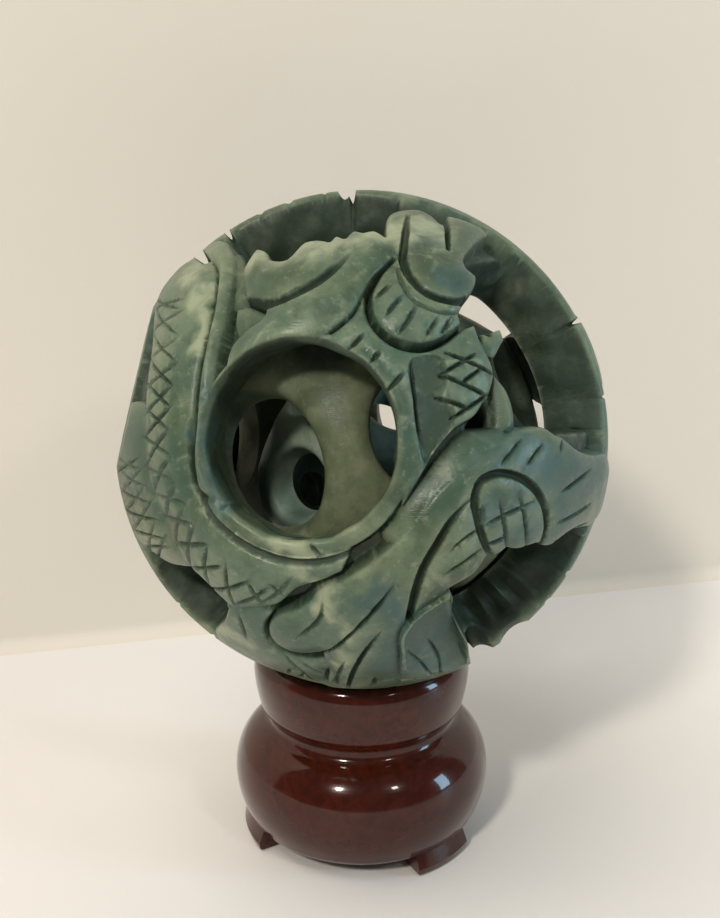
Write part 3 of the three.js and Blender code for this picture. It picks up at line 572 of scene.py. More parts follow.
def carve(shape, edge, radius, rounds, error):
    """A net fine enough to hold the shape: directions, faces, radii and how far inside the stone each is."""
    ways, faces = globe(edge, radius)
    size, stone = shape(ways)
    for _ in range(rounds):
        edges, index = edges_of(faces)
        middles = ways[edges].sum(1)
        middles /= np.linalg.norm(middles, axis=1, keepdims=True)
        ends = stone[edges]
        keep = ends.max(1) > -0.5 * edge
        mid_size = np.zeros(len(edges))
        mid_stone = np.full(len(edges), -9.0)
        mid_size[keep], mid_stone[keep] = shape(middles[keep])
        rough = np.abs(mid_size - size[edges].mean(1)) > error
        rim = (np.minimum(ends.min(1), mid_stone) < 0.25) & (np.maximum(ends.max(1), mid_stone) > -0.25)
        wanted = keep & (rough & (mid_stone > -0.3) | rim)
        marked = wanted[index]
        ways, faces = split(ways, faces, marked)
        cut = np.zeros(len(edges), bool)
        cut[index[marked]] = True
        size = np.concatenate([size, mid_size[cut]])
        stone = np.concatenate([stone, mid_stone[cut]])
        edge /= 2
    return ways, faces, size, stone


def straight(ways):
    return ways


def plain_wall(ways, share):
    return 0.25 * np.sin(math.pi * share) * np.sin(ways[:, 0] * 23 + share * 3) * np.sin(ways[:, 2] * 19 + 1)


def pierced_mesh(name, shape, bore, net, rows, centre, inward=straight, wall=plain_wall):
    """A mesh from a net: its openings cut out, walled down to the bore, and lined with the round inside."""
    ways, faces, size, stone = net
    stone = np.where(np.abs(stone) < 0.02, 0.02, stone)
    inside = (stone > 0)[faces]
    whole = faces[inside.all(1)]
    mixed = faces[inside.any(1) & ~inside.all(1)]
    edges, index = edges_of(mixed)
    crossing = (stone[edges] > 0).sum(1) == 1
    share = stone[edges[:, 0]] / (stone[edges[:, 0]] - stone[edges[:, 1]] + 1e-12)
    cuts = ways[edges[:, 0]] * (1 - share[:, None]) + ways[edges[:, 1]] * share[:, None]
    cuts = cuts[crossing] / np.linalg.norm(cuts[crossing], axis=1, keepdims=True)
    number = np.full(len(edges), -1)
    number[crossing] = len(ways) + np.arange(crossing.sum())
    cut_size, _ = shape(cuts)
    ways = np.concatenate([ways, cuts])
    size = np.concatenate([size, cut_size])
    clipped, rim = [], []
    solid = stone[mixed] > 0
    for turn in range(3):
        a, b, c = (mixed[:, (turn + k) % 3] for k in range(3))
        ab, bc, ca = (number[index[:, (turn + k) % 3]] for k in range(3))
        flags = [solid[:, (turn + k) % 3] for k in range(3)]
        one = flags[0] & ~flags[1] & ~flags[2]
        clipped.append(np.stack([a, ab, ca], 1)[one])
        rim.append(np.stack([ab, ca], 1)[one])
        two = flags[0] & flags[1] & ~flags[2]
        clipped += [np.stack([a, b, bc], 1)[two], np.stack([a, bc, ca], 1)[two]]
        rim.append(np.stack([bc, ca], 1)[two])
    skin = np.concatenate([whole] + clipped)
    rim = np.concatenate(rim)
    used, skin = np.unique(skin, return_inverse=True)
    skin = skin.reshape(-1, 3)
    back_map = np.full(len(ways), -1)
    back_map[used] = np.arange(len(used))
    rim = back_map[rim]
    ways, size = ways[used], size[used]
    outside, bottom = ways * size[:, None], inward(ways) * bore
    points = [outside, bottom]
    count = len(ways)
    lip = np.unique(rim)
    along = np.zeros_like(ways)
    step = ways[rim[:, 1]] - ways[rim[:, 0]]
    for end in (0, 1):
        np.add.at(along, rim[:, end], step)
    calm = outside.copy()
    for _ in range(9):
        for field in (along, calm):
            total = np.zeros_like(field)
            met = np.zeros(count)
            for one, other in ((rim[:, 0], rim[:, 1]), (rim[:, 1], rim[:, 0])):
                np.add.at(total, one, field[other])
                np.add.at(met, one, 1)
            field[lip] = (field[lip] + total[lip]) / (1 + met[lip])[:, None]
    into = np.cross(ways[lip], along[lip])
    into /= np.linalg.norm(into, axis=1, keepdims=True) + 1e-12
    order = np.full(count, -1)
    order[lip] = np.arange(len(lip))
    levels = [np.arange(count)]
    start = 2 * count
    for row in range(1, rows):
        share = row / rows
        crisp = max(1 - 3 * share, 0)
        top = outside[lip] * crisp + calm[lip] * (1 - crisp)
        low = bottom[lip] * (1 - share) + inward(calm[lip] / np.linalg.norm(calm[lip], axis=1)[:, None]) * bore * share
        spots = top * (1 - share) + (low * (1 - share) + bottom[lip] * share) * share
        points.append(spots + into * wall(ways[lip], share)[:, None])
        level = np.full(count, -1)
        level[lip] = start + np.arange(len(lip))
        start += len(lip)
        levels.append(level)
    levels.append(np.arange(count) + count)
    all_faces = [skin, skin[:, ::-1] + count]
    for high, low in zip(levels, levels[1:]):
        a, b = high[rim].T
        c, d = low[rim].T
        all_faces += [np.stack([b, a, c], 1), np.stack([b, c, d], 1)]
    points = np.concatenate(points) * 0.001 + np.array(centre) * 0.001
    all_faces = np.concatenate(all_faces)
    mesh = bpy.data.meshes.new(name)
    mesh.vertices.add(len(points))
    mesh.vertices.foreach_set("co", points.astype(np.float32).ravel())
    mesh.loops.add(all_faces.size)
    mesh.loops.foreach_set("vertex_index", all_faces.astype(np.int32).ravel())
    mesh.polygons.add(len(all_faces))
    mesh.polygons.foreach_set("loop_start", np.arange(0, all_faces.size, 3, dtype=np.int32))
    mesh.update(calc_edges=True)
    mesh.validate()
    piece = bpy.data.objects.new(name, mesh)
    bpy.context.collection.objects.link(piece)
    return piece


def thin_out(piece, most, angle):
    """Joins faces where the surface is plain, down to a number of faces, then shades it smooth between its edges."""
    count = len(piece.data.polygons)
    if count > most:
        fewer = piece.modifiers.new("fewer faces", "DECIMATE")
        fewer.ratio = most / count
        shown = piece.evaluated_get(bpy.context.evaluated_depsgraph_get())
        mesh = bpy.data.meshes.new_from_object(shown)
        piece.modifiers.clear()
        piece.data = mesh
    piece.data.shade_smooth()
    piece.data.set_sharp_from_angle(angle=math.radians(angle))


def mark_shade_dirt_and_ridges(piece, painted_shade_and_dirt):
    """Stores on each vertex its painted shade and dirt, from 0 to 1, and how much it stands out as a ridge."""
    mesh = piece.data
    count = len(mesh.vertices)
    spots = np.empty(count * 3, np.float32)
    mesh.vertices.foreach_get("co", spots)
    spots = spots.reshape(-1, 3).astype(float) * 1000
    facing = np.empty(count * 3, np.float32)
    mesh.vertices.foreach_get("normal", facing)
    facing = facing.reshape(-1, 3)
    ends = np.empty(len(mesh.edges) * 2, np.int32)
    mesh.edges.foreach_get("vertices", ends)
    first, second = ends.reshape(-1, 2).T
    step = spots[second] - spots[first]
    length = np.linalg.norm(step, axis=1) + 1e-6
    bend = np.zeros(count)
    np.add.at(bend, first, -(step * facing[first]).sum(1) / length)
    np.add.at(bend, second, (step * facing[second]).sum(1) / length)
    number = np.bincount(first, minlength=count) + np.bincount(second, minlength=count)
    bend /= number
    for _ in range(2):
        total = np.bincount(first, bend[second], count) + np.bincount(second, bend[first], count)
        bend = (bend + total) / (number + 1)
    deep = painted_shade_and_dirt(spots, facing)
    bend *= np.clip((0.95 - deep) * 4, 0, 1)
    for name, values in (("ridge", np.clip(bend * 2.2, -1, 1)), ("painted_shade_and_dirt", deep)):
        mesh.attributes.new(name, "FLOAT", "POINT").data.foreach_set("value", values.astype(np.float32))


class Shader:
    """Places and wires the nodes of a material or of a node group."""

    def __init__(self, tree):
        self.tree = tree

    def add(self, kind, inputs=None, **settings):
        node = self.tree.nodes.new(kind)
        for key, value in settings.items():
            setattr(node, key, value)
        for key, value in (inputs or {}).items():
            if isinstance(value, bpy.types.NodeSocket):
                self.tree.links.new(value, node.inputs[key])
            else:
                node.inputs[key].default_value = value
        return node

    def noise(self, scale, detail=3, rough=0.5, twist=0.0, where=None):
        """Cloudy values about 0.5, in features of about 1/scale metres."""
        inputs = {"Scale": scale, "Detail": detail, "Roughness": rough, "Distortion": twist}
        inputs["Vector"] = where or self.add("ShaderNodeTexCoord").outputs["Object"]
        return self.add("ShaderNodeTexNoise", inputs).outputs["Fac"]

    def span(self, value, low, high, start=0.0, end=1.0):
        """Value between low and high carried over to between start and end."""
        inputs = {"Value": value, "From Min": low, "From Max": high, "To Min": start, "To Max": end}
        return self.add("ShaderNodeMapRange", inputs, interpolation_type="SMOOTHSTEP").outputs["Result"]

    def sum(self, a, b, kind="ADD"):
        return self.add("ShaderNodeMath", {0: a, 1: b}, operation=kind, use_clamp=False).outputs["Value"]

    def blend(self, share, a, b, kind="MIX"):
        node = self.add("ShaderNodeMix", data_type="RGBA", blend_type=kind)
        for key, value in ((0, share), (6, a), (7, b)):
            if isinstance(value, bpy.types.NodeSocket):
                self.tree.links.new(value, node.inputs[key])
            else:
                node.inputs[key].default_value = value
        return node.outputs[2]

    def stored(self, name):
        return self.add("ShaderNodeAttribute", attribute_name=name).outputs["Fac"]


def stone_figure_light_and_shade():
    """Stone figure: dark and pale clouds, cream veins, polished ridges, painted shade and dirt in recesses."""
    group = bpy.data.node_groups.new("green_stone_figure_light_and_shade", "ShaderNodeTree")
    face = group.interface
    for name, kind in (
        ("Dark", "NodeSocketColor"), ("Body", "NodeSocketColor"), ("Pale", "NodeSocketColor"),
        ("Vein", "NodeSocketColor"), ("ShadeAndSoil", "NodeSocketColor"), ("Teal", "NodeSocketColor"),
    ):
        face.new_socket(name, in_out="INPUT", socket_type=kind)
    for name, kind in (("Color", "NodeSocketColor"), ("Roughness", "NodeSocketFloat"), ("Height", "NodeSocketFloat")):
        face.new_socket(name, in_out="OUTPUT", socket_type=kind)
    shade = Shader(group)
    given = shade.add("NodeGroupInput").outputs
    where = shade.add("ShaderNodeTexCoord").outputs["Object"]
    cloud = shade.noise(60, 3, 0.5, 0.5, where)
    mottle = shade.noise(270, 4, 0.6, 0.5, where)
    fleck = shade.noise(900, 3, 0.65, 0.3, where)
    speck = shade.noise(2600, 2, 0.6, 0, where)
    color = shade.blend(shade.span(cloud, 0.4, 0.54), given["Dark"], given["Body"])
    color = shade.blend(shade.span(cloud, 0.53, 0.66, 0, 0.85), color, given["Pale"])
    tint = shade.noise(36, 3, 0.5, 0.6, where)
    color = shade.blend(shade.span(tint, 0.47, 0.6, 0, 0.55), color, given["Teal"])
    color = shade.blend(shade.span(mottle, 0.5, 0.68, 0, 0.4), color, given["Pale"])
    color = shade.blend(shade.span(mottle, 0.5, 0.34, 0, 0.45), color, given["Dark"])
    stream = shade.noise(30, 4, 0.5, 1.4, where)
    thread = shade.sum(stream, 0.5, "SUBTRACT")
    thread = shade.add("ShaderNodeMath", {0: thread}, operation="ABSOLUTE").outputs["Value"]
    thread = shade.sum(shade.span(thread, 0.03, 0.0), shade.span(mottle, 0.45, 0.65), "MULTIPLY")
    color = shade.blend(shade.sum(thread, 0.3, "MULTIPLY"), color, given["Vein"])
    color = shade.blend(shade.span(fleck, 0.56, 0.74, 0, 0.3), color, given["Vein"])
    color = shade.blend(shade.span(fleck, 0.46, 0.3, 0, 0.35), color, given["Dark"])
    patchy = shade.span(mottle, 0.36, 0.6, 0.45, 1)
    deeper = shade.blend(1.0, given["Teal"], (0.62, 0.72, 0.9, 1), "MULTIPLY")
    # Cream and blue-green streaks of the stone, a few of them painted light and painted window reflection
    color = shade.blend(shade.sum(shade.sum(shade.stored("teal"), patchy, "MULTIPLY"), 0.8, "MULTIPLY"), color, deeper)
    color = shade.blend(shade.sum(shade.sum(shade.stored("cream"), patchy, "MULTIPLY"), 0.8, "MULTIPLY"), color,
                        given["Vein"])
    # Painted shade with some dirt: darker in recesses, in creases and on the walls of the openings
    painted_shade_and_dirt = shade.stored("painted_shade_and_dirt")
    ridge = shade.stored("ridge")
    shade_and_soil_share = shade.sum(shade.span(painted_shade_and_dirt, 0.1, 0.75, 0, 0.9), shade.span(ridge, -0.03, -0.35, 0, 0.7), "MAXIMUM")
    shade_and_soil_share = shade.sum(shade_and_soil_share, shade.span(mottle, 0.3, 0.62, 0.75, 1.05), "MULTIPLY")
    color = shade.blend(shade_and_soil_share, color, given["ShadeAndSoil"])
    color = shade.blend(shade.span(ridge, 0.08, 0.5, 0, 0.45), color, given["Vein"])
    rough = shade.sum(shade.span(fleck, 0.35, 0.65, -0.03, 0.05), shade.span(painted_shade_and_dirt, 0.1, 0.9, 0.36, 0.62))
    rough = shade.sum(rough, shade.span(mottle, 0.35, 0.65, -0.04, 0.06))
    scratch = shade.add("ShaderNodeMapping", {"Vector": where, "Rotation": (0.5, 0.7, 0.2), "Scale": (1, 1, 7)})
    scratch = shade.noise(900, 2, 0.5, 0, scratch.outputs["Vector"])
    height = shade.sum(shade.sum(speck, 0.4, "MULTIPLY"), shade.sum(scratch, 0.6, "MULTIPLY"))
    shade.add("NodeGroupOutput", {"Color": color, "Roughness": rough, "Height": height})
    return group


def stone(name, colors, bump, shine):
    """A polished stone finish with its own colours."""
    finish = bpy.data.materials.new(name)
    finish.use_nodes = True
    tree = finish.node_tree
    shade = Shader(tree)
    base = tree.nodes["Principled BSDF"]
    figure = shade.add("ShaderNodeGroup", node_tree=green_stone_figure_light_and_shade)
    for key, value in colors.items():
        figure.inputs[key].default_value = (*value, 1)
    relief = shade.add("ShaderNodeBump", {"Height": figure.outputs["Height"], "Strength": bump, "Distance": 0.0001})
    tree.links.new(figure.outputs["Color"], base.inputs["Base Color"])
    tree.links.new(figure.outputs["Roughness"], base.inputs["Roughness"])
    tree.links.new(relief.outputs["Normal"], base.inputs["Normal"])
    base.inputs["IOR"].default_value = 1.52
    base.inputs["Specular IOR Level"].default_value = shine
    base.inputs["Subsurface Weight"].default_value = 0.12
    base.inputs["Subsurface Radius"].default_value = (0.5, 1.0, 0.6)
    base.inputs["Subsurface Scale"].default_value = 0.0012
    return finish


green_stone_figure_light_and_shade = stone_figure_light_and_shade()
# The darkest of these colours is painted shade with some dirt, laid in the recesses and openings
SHELL_COLORS = {
    "Dark": (0.044, 0.072, 0.04), "Body": (0.085, 0.124, 0.073), "Pale": (0.158, 0.2, 0.122),
    "Vein": (0.32, 0.36, 0.24), "ShadeAndSoil": (0.011, 0.023, 0.012), "Teal": (0.06, 0.122, 0.094),
}


# The block's own figure on the face: cream streaks of pale vein, and places where the stone runs blue-green.
# Some are painted light: the cream streak on the ring's lower lip is a painted pool of light, and the blue-green
# on the ring hole's left wall and the fan's top paints the window's cool light and reflection. Each is a streak
# from one place on the front chart to another, with its half-width in mm.
CREAM_STREAKS = (
    ((-13.3, -15.8), (-8.4, -17.2), 1.5), ((-9.2, -20), (-5.4, -23.3), 1.2), ((-5.8, -24.8), (-1.9, -32.4), 1.3),
    ((-4, -36.8), (-2.8, -40.7), 1.2), ((-33.4, 33.3), (-27.6, 23.7), 2), ((30, 36.4), (31.2, 37.4), 1.6),
    ((-26.4, 27), (-25.8, 14), 1.2), ((2, 34), (12, 36), 3), ((-17, 30.5), (-4, 32), 3), ((-31, -36), (-22, -38), 2),
)
TEAL_STREAKS = (
    ((8.3, -34.8), (18, -37), 4.2), ((21.4, -2.5), (26, 0.5), 3), ((27.4, -6), (36, -10), 5), ((38, -2), (52, -8), 6),
    ((-23.5, 6), (-22.5, -9), 2.6), ((6, -40), (18, -44), 4), ((2, -24), (9, -30), 3), ((13, 24), (19, 27), 3),
    ((20, -12), (27, -14), 4), ((9, 33), (13, 36), 2.5), ((-25.5, 1), (-22, -10), 2), ((7.6, 10), (8.6, -1), 1.2),
)


def streaked(spots, streaks):
    """1 in the middle of a streak, falling softly to 0."""
    ways = spots - [0, 0, BALL_CENTRE]
    ways /= np.linalg.norm(ways, axis=1, keepdims=True)
    places = unroll(FRONT, ways)
    places = places + 0.8 * np.sin(places[:, ::-1] * 0.9 + [0.4, 1.7]) + 0.4 * np.sin(places[:, ::-1] * 2.3)
    share = np.zeros(len(places))
    for start, end, width in streaks:
        gap, _ = distance(places, np.array([start, end]), False)
        share = np.maximum(share, np.clip(1.5 - gap / width, 0, 1))
    return share * share * (3 - 2 * share) * (ways @ FRONT[2] > 0.1)


# Stores the streaks on the vertices: the stone's figure, with some painted light among it
def streaks_of_figure_and_light(piece):
    mesh = piece.data
    spots = np.empty(len(mesh.vertices) * 3, np.float32)
    mesh.vertices.foreach_get("co", spots)
    spots = spots.reshape(-1, 3).astype(float) * 1000
    for name, streaks in (("cream", CREAM_STREAKS), ("teal", TEAL_STREAKS)):
        values = streaked(spots, streaks).astype(np.float32)
        mesh.attributes.new(name, "FLOAT", "POINT").data.foreach_set("value", values)


def shell_painted_shade(spots, facing):
    """Painted shade and dirt: 0 on the highest carving, up to 1 at the ground, in cut lines and openings' walls."""
    spots = spots - [0, 0, BALL_CENTRE]
    radius = np.linalg.norm(spots, axis=1)
    ways = spots / radius[:, None]
    lines = np.maximum(front.cut(unroll(FRONT, ways)), back.cut(unroll(BACK, ways)))
    level = np.clip((39.2 - radius - lines) / 3.2, 0, 1) * 0.6
    # Painted shade darker on the sunk facet and lighter on the toe
    level += 0.25 * np.clip(distance(unroll(FRONT, ways), curve(sunk_facet))[0] * 2 + 0.5, 0, 1)
    level *= 1 - 0.25 * np.clip(distance(unroll(FRONT, ways), curve(toe))[0] * 2 + 0.5, 0, 1)
    # Painted shade on the walls of the openings, most where they face down and to the left
    side = np.clip((0.6 - np.abs((facing * ways).sum(1))) * 2.5, 0, 1)
    toward_right, upward = (facing @ FRONT[:2].T).T
    level += side * np.clip(0.4 - 0.35 * upward - 0.2 * toward_right, 0, 1)
    # Ring hole: painted light on its lower left wall, painted shade on its top wall
    across, up = (unroll(FRONT, ways) - RING_HOLE_CENTRE).T
    axis = roll(FRONT, RING_HOLE_CENTRE)[0]
    depth = spots @ axis
    off = np.linalg.norm(spots - depth[:, None] * axis, axis=1)
    in_ring = np.clip((RING_HOLE + 0.9 - off) * 2, 0, 1) * (depth > 0)
    lit = np.clip(-(0.9 * across + 0.4 * up) / RING_HOLE_ARC, 0, 1)
    level *= 1 - in_ring * np.minimum(1.3 * lit, 1)
    level += 0.8 * in_ring * np.clip(1.6 * up / RING_HOLE_ARC, 0, 1)
    # Less painted shade on the walls of the lower right rim
    level *= 1 - 0.3 * np.clip(1.5 - np.hypot(across - 46, up + 34) / 10, 0, 1)
    return np.clip(level + lines / 1.2, 0, 1)


def ring_hole_inward(ways):
    """The ring holes are drilled straight, so at the bore their edges lie further out than rays would put them."""
    out = np.array(ways)
    edge = RING_HOLE_ARC / CHART_RADIUS
    wider = math.asin(RING_HOLE / OUTER_BORE) / edge - 1
    for chart, centre in ((FRONT, RING_HOLE_CENTRE), (BACK, BACK_RING)):
        axis = roll(chart, centre)[0]
        angle = np.arccos(np.clip(ways @ axis, -1, 1))
        fade = np.clip(1 - (angle - edge) / 0.3, 0, 1)
        new = angle * (1 + wider * fade**2 * (3 - 2 * fade))
        aside = ways - np.cos(angle)[:, None] * axis
        aside /= np.linalg.norm(aside, axis=1, keepdims=True) + 1e-12
        moved = np.cos(new)[:, None] * axis + np.sin(new)[:, None] * aside
        out = np.where((angle < edge + 0.3)[:, None], moved, out)
    return out


def gouged_wall(ways, share):
    """The gouge left a ridge low on the rim's wall and uneven hollows on the others."""
    arc = np.hypot(*unroll(FRONT, ways).T)
    on_rim = np.clip((arc - 50) / 3, 0, 1) * np.clip((60 - arc) / 2, 0, 1)
    x, y, z = ways.T * CHART_RADIUS
    uneven_part = np.sin(math.pi * share) * np.sin(x * 0.55 + share * 4) * np.sin(z * 0.5 + y * 0.3 + share * 2)
    ridge = np.interp(share, (0, 0.55, 1), (0, 1, 0))
    turn = np.degrees(np.arctan2(*unroll(FRONT, ways).T[::-1]))
    chopped = np.clip((turn + 66) / 2, 0, 1) * np.clip((-40 - turn) / 2, 0, 1) * np.sin(math.pi * share)
    scoops = chopped * (2.4 * np.abs((turn + 63) / 6 % 1 - 0.5) - 0.2)
    return on_rim * (-0.8 * ridge + 0.5 * uneven_part + scoops) + (1 - on_rim) * 0.22 * uneven_part


outer_ball = pierced_mesh("outer_ball_carved", carved_ball, OUTER_BORE, carve(carved_ball, 0.9, 40, 2, 0.04), 10,
                          (0, 0, BALL_CENTRE), ring_hole_inward, gouged_wall)
thin_out(outer_ball, 185000, 48)
mark_shade_dirt_and_ridges(outer_ball, shell_painted_shade)
streaks_of_figure_and_light(outer_ball)
outer_ball.data.materials.append(stone("green_stone_shell", SHELL_COLORS, 0.5, 0.4))
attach(outer_ball, "root")
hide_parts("outer_ball")

# The second ball: plain, cut loose inside the first through its openings and pierced by twelve round holes. It
# rests on the bottom of the hollow.
REST_GAP = 0.3
# Holes: compass direction, height and half-angle in degrees; dull patches of painted shade: place and reach
MIDDLE = {"outside": 28.6, "bore": 22.4, "round": 3.0, "dull_shade": (((46, 20), 34), ((-8, 22), 16)), "holes": (
    (-128, 7, 26), (-62, 23, 23), (21, 61, 22.5), (-12, 26, 14.5), (164, -4, 22), (-178, 55, 21),
    (14, -52, 22), (61, -4, 22), (-72, -38, 21), (-163, -59, 22), (104, -36, 23), (107, 25, 23),
)}


def pierced_ball(name, ball, centre, most):
    """A plain ball with rounded holes through its wall."""
    holes = []
    for compass, height, angle in ball["holes"]:
        compass, height = math.radians(compass), math.radians(height)
        level = math.cos(height)
        axis = np.array([level * math.cos(compass), level * math.sin(compass), math.sin(height)])
        holes.append((axis, math.radians(angle)))

    def shape(ways):
        stone_left = np.full(len(ways), 9.0)
        for axis, angle in holes:
            off = np.arccos(np.clip(ways @ axis, -1, 1)) - angle
            stone_left = np.minimum(stone_left, off * ball["outside"])
        soft = ball["round"]
        depth = np.clip(stone_left, 0, soft)
        fall = soft - np.sqrt(np.maximum(soft**2 - (soft - depth) ** 2, 0))
        wave = 0.08 * np.sin(ways[:, 0] * 19 + 1) * np.sin(ways[:, 1] * 17) * np.sin(ways[:, 2] * 21 + 2)
        return ball["outside"] - fall * 0.75 - 0.08 + wave, stone_left

    piece = pierced_mesh(name, shape, ball["bore"], carve(shape, 1.4, ball["outside"], 2, 0.03), 4, (0, 0, centre))
    thin_out(piece, most, 60)

    # Painted shade, deeper down the hole walls and inside, and on the dull patches
    def painted_shade_and_dirt(spots, facing):
        radius = np.linalg.norm(spots - [0, 0, centre], axis=1)
        depth = np.clip((ball["outside"] - 0.5 - radius) / (ball["outside"] - ball["bore"]), 0, 1) * 0.5
        ways = (spots - [0, 0, centre]) / radius[:, None]
        for place, reach in ball["dull_shade"]:
            off = np.degrees(np.arccos(np.clip(ways @ roll(FRONT, place)[0], -1, 1)))
            depth = np.maximum(depth, 0.75 * np.clip((reach - off) / 9, 0, 1))
        return depth

    mark_shade_dirt_and_ridges(piece, painted_shade_and_dirt)
    return piece


middle_centre = BALL_CENTRE - (OUTER_BORE - MIDDLE["outside"] - REST_GAP)
middle_ball = pierced_ball("middle_ball_pierced", MIDDLE, middle_centre, 60000)
# Same stone set lighter than the outer ball's: painted light for the light that gets in through the openings
middle_ball.data.materials.append(stone("green_stone_second", {
    "Dark": (0.08, 0.1, 0.055), "Body": (0.135, 0.158, 0.092), "Pale": (0.2, 0.215, 0.135),
    "Vein": (0.26, 0.28, 0.19), "ShadeAndSoil": (0.024, 0.036, 0.024), "Teal": (0.09, 0.135, 0.095),
}, 0.4, 0.15))
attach(middle_ball, "root")
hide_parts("middle_ball")

# The third ball: smaller again, of the same block, loose inside the second and resting in the bottom of its hollow.
INNER = {"outside": 17, "bore": 12.6, "round": 1.6, "dull_shade": (((-30, -30), 20),), "holes": (
    (-130, 9, 21), (-52, 60, 18), (67, 27, 19), (138, -28, 14), (166, 19, 21), (-165, 62, 17), (12, 31, 19),
    (118, 50, 16), (-172, -41, 21), (-85, -39, 21), (46, -72, 21), (-32, -8, 21), (20, -22, 21),
)}
inner_centre = middle_centre - (MIDDLE["bore"] - INNER["outside"] - REST_GAP)
inner_ball = pierced_ball("inner_ball_pierced", INNER, inner_centre, 40000)
# Same stone set two to three times lighter than the outer ball's: painted light for the little light inside
inner_ball.data.materials.append(stone("green_stone_third", {
    "Dark": (0.15, 0.21, 0.15), "Body": (0.25, 0.32, 0.24), "Pale": (0.34, 0.4, 0.3),
    "Vein": (0.42, 0.46, 0.38), "ShadeAndSoil": (0.08, 0.12, 0.1), "Teal": (0.17, 0.3, 0.28),
}, 0.4, 0.2))
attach(inner_ball, "root")
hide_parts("inner_ball")

# The stand: one piece of hardwood turned with a cup, a collar, a narrow neck and a round body, sawn to three feet
# below, and finished in dark red-brown gloss lacquer. The ball rests in its cup.
SEAT_RADIUS = 40.1
STAND_TURNS = 240
FOOT_TURNS = (-45, -165, 75)


def dish(radius):
    """Height of the cup's seat, which fits the ball."""
    return BALL_CENTRE - math.sqrt(SEAT_RADIUS**2 - radius**2)


stand_profile = [
    (0, 29, 1), (6, 29), (10.7, 29.1), (11.3, 29.6), (12.5, dish(12.5), 1), (14.2, dish(14.2)), (15.5, dish(15.5), 1),
    (16.2, 34.95), (16.9, 34.85), (17.6, 34.2), (18.1, 33), (18.33, 31.4), (18.25, 29.6), (18.0, 27.7),
    (17.75, 26.4), (17.5, 25.3), (17.1, 24.4), (16.6, 23.9), (16.1, 23.5), (15.9, 22.9), (15.85, 22.3), (16.0, 21.6),
    (16.5, 21), (17.6, 20.3), (19.2, 19), (20.5, 17.3), (21.4, 15.2), (21.85, 12.6),
    (21.7, 9.8), (21.1, 7.2), (20.3, 5.2), (19.6, 3.9), (19.0, 3.4), (18.2, 3.3, 1), (9, 3.3), (0, 3.3, 1),
]


def turned(name, profile, turns):
    """A solid turned on the lathe from a profile that runs from the axis at the top to the axis below."""
    line = curve(profile, 0.3, False)
    rings = line[1:-1]
    angles = np.arange(turns) * 2 * math.pi / turns
    spots = [(0, 0, line[0][1])]
    for radius, height in rings:
        for a in angles:
            spots.append((radius * math.cos(a), radius * math.sin(a), height))
    spots.append((0, 0, line[-1][1]))
    faces = []
    last = len(spots) - 1
    for k in range(turns):
        after = (k + 1) % turns
        faces.append((0, 1 + k, 1 + after))
        for row in range(len(rings) - 1):
            top, low = 1 + row * turns, 1 + (row + 1) * turns
            faces.append((top + k, low + k, low + after, top + after))
        low = 1 + (len(rings) - 1) * turns
        faces.append((low + k, last, low + after))
    mesh = bpy.data.meshes.new(name)
    mesh.from_pydata([(x * 0.001, y * 0.001, z * 0.001) for x, y, z in spots], [], faces)
    piece = bpy.data.objects.new(name, mesh)
    bpy.context.collection.objects.link(piece)
    return piece


def foot(turn):
    """One bracket foot: a bevelled stretch of ring, its lower edge drawn in a little."""
    bm = bmesh.new()
    rings = []
    for height, inside, outside, span in (
        (0.0, 15.0, 19.6, 15.2), (0.5, 14.7, 20.3, 16.6), (1.6, 14.6, 20.6, 17), (4.8, 14.6, 19.4, 17),
    ):
        ring = []
        steps = 16
        for i in range(steps + 1):
            a = math.radians(turn - span + 2 * span * i / steps)
            ring.append(bm.verts.new((outside * math.cos(a) * 0.001, outside * math.sin(a) * 0.001, height * 0.001)))
        for i in range(steps, -1, -1):
            a = math.radians(turn - span + 2 * span * i / steps)
            ring.append(bm.verts.new((inside * math.cos(a) * 0.001, inside * math.sin(a) * 0.001, height * 0.001)))
        rings.append(ring)
    count = len(rings[0])
    for low, top in zip(rings, rings[1:]):
        for i in range(count):
            j = (i + 1) % count
            bm.faces.new((low[i], low[j], top[j], top[i]))
    half = count // 2
    for ring, flip in ((rings[0], True), (rings[-1], False)):
        for i in range(half - 1):
            quad = (ring[i], ring[i + 1], ring[count - 2 - i], ring[count - 1 - i])
            bm.faces.new(quad[::-1] if flip else quad)
    bmesh.ops.recalc_face_normals(bm, faces=bm.faces)
    mesh = bpy.data.meshes.new("foot")
    bm.to_mesh(mesh)
    bm.free()
    piece = bpy.data.objects.new("foot", mesh)
    bpy.context.collection.objects.link(piece)
    return piece


stand = turned("stand_turned", stand_profile, STAND_TURNS)
for turn in FOOT_TURNS:
    part = foot(turn)
    union = stand.modifiers.new("foot", "BOOLEAN")
    union.operation = "UNION"
    union.solver = "EXACT"
    union.object = part
    mesh = bpy.data.meshes.new_from_object(stand.evaluated_get(bpy.context.evaluated_depsgraph_get()))
    stand.modifiers.clear()
    stand.data = mesh
    bpy.data.objects.remove(part)
stand.data.shade_smooth()
stand.data.set_sharp_from_angle(angle=math.radians(32))


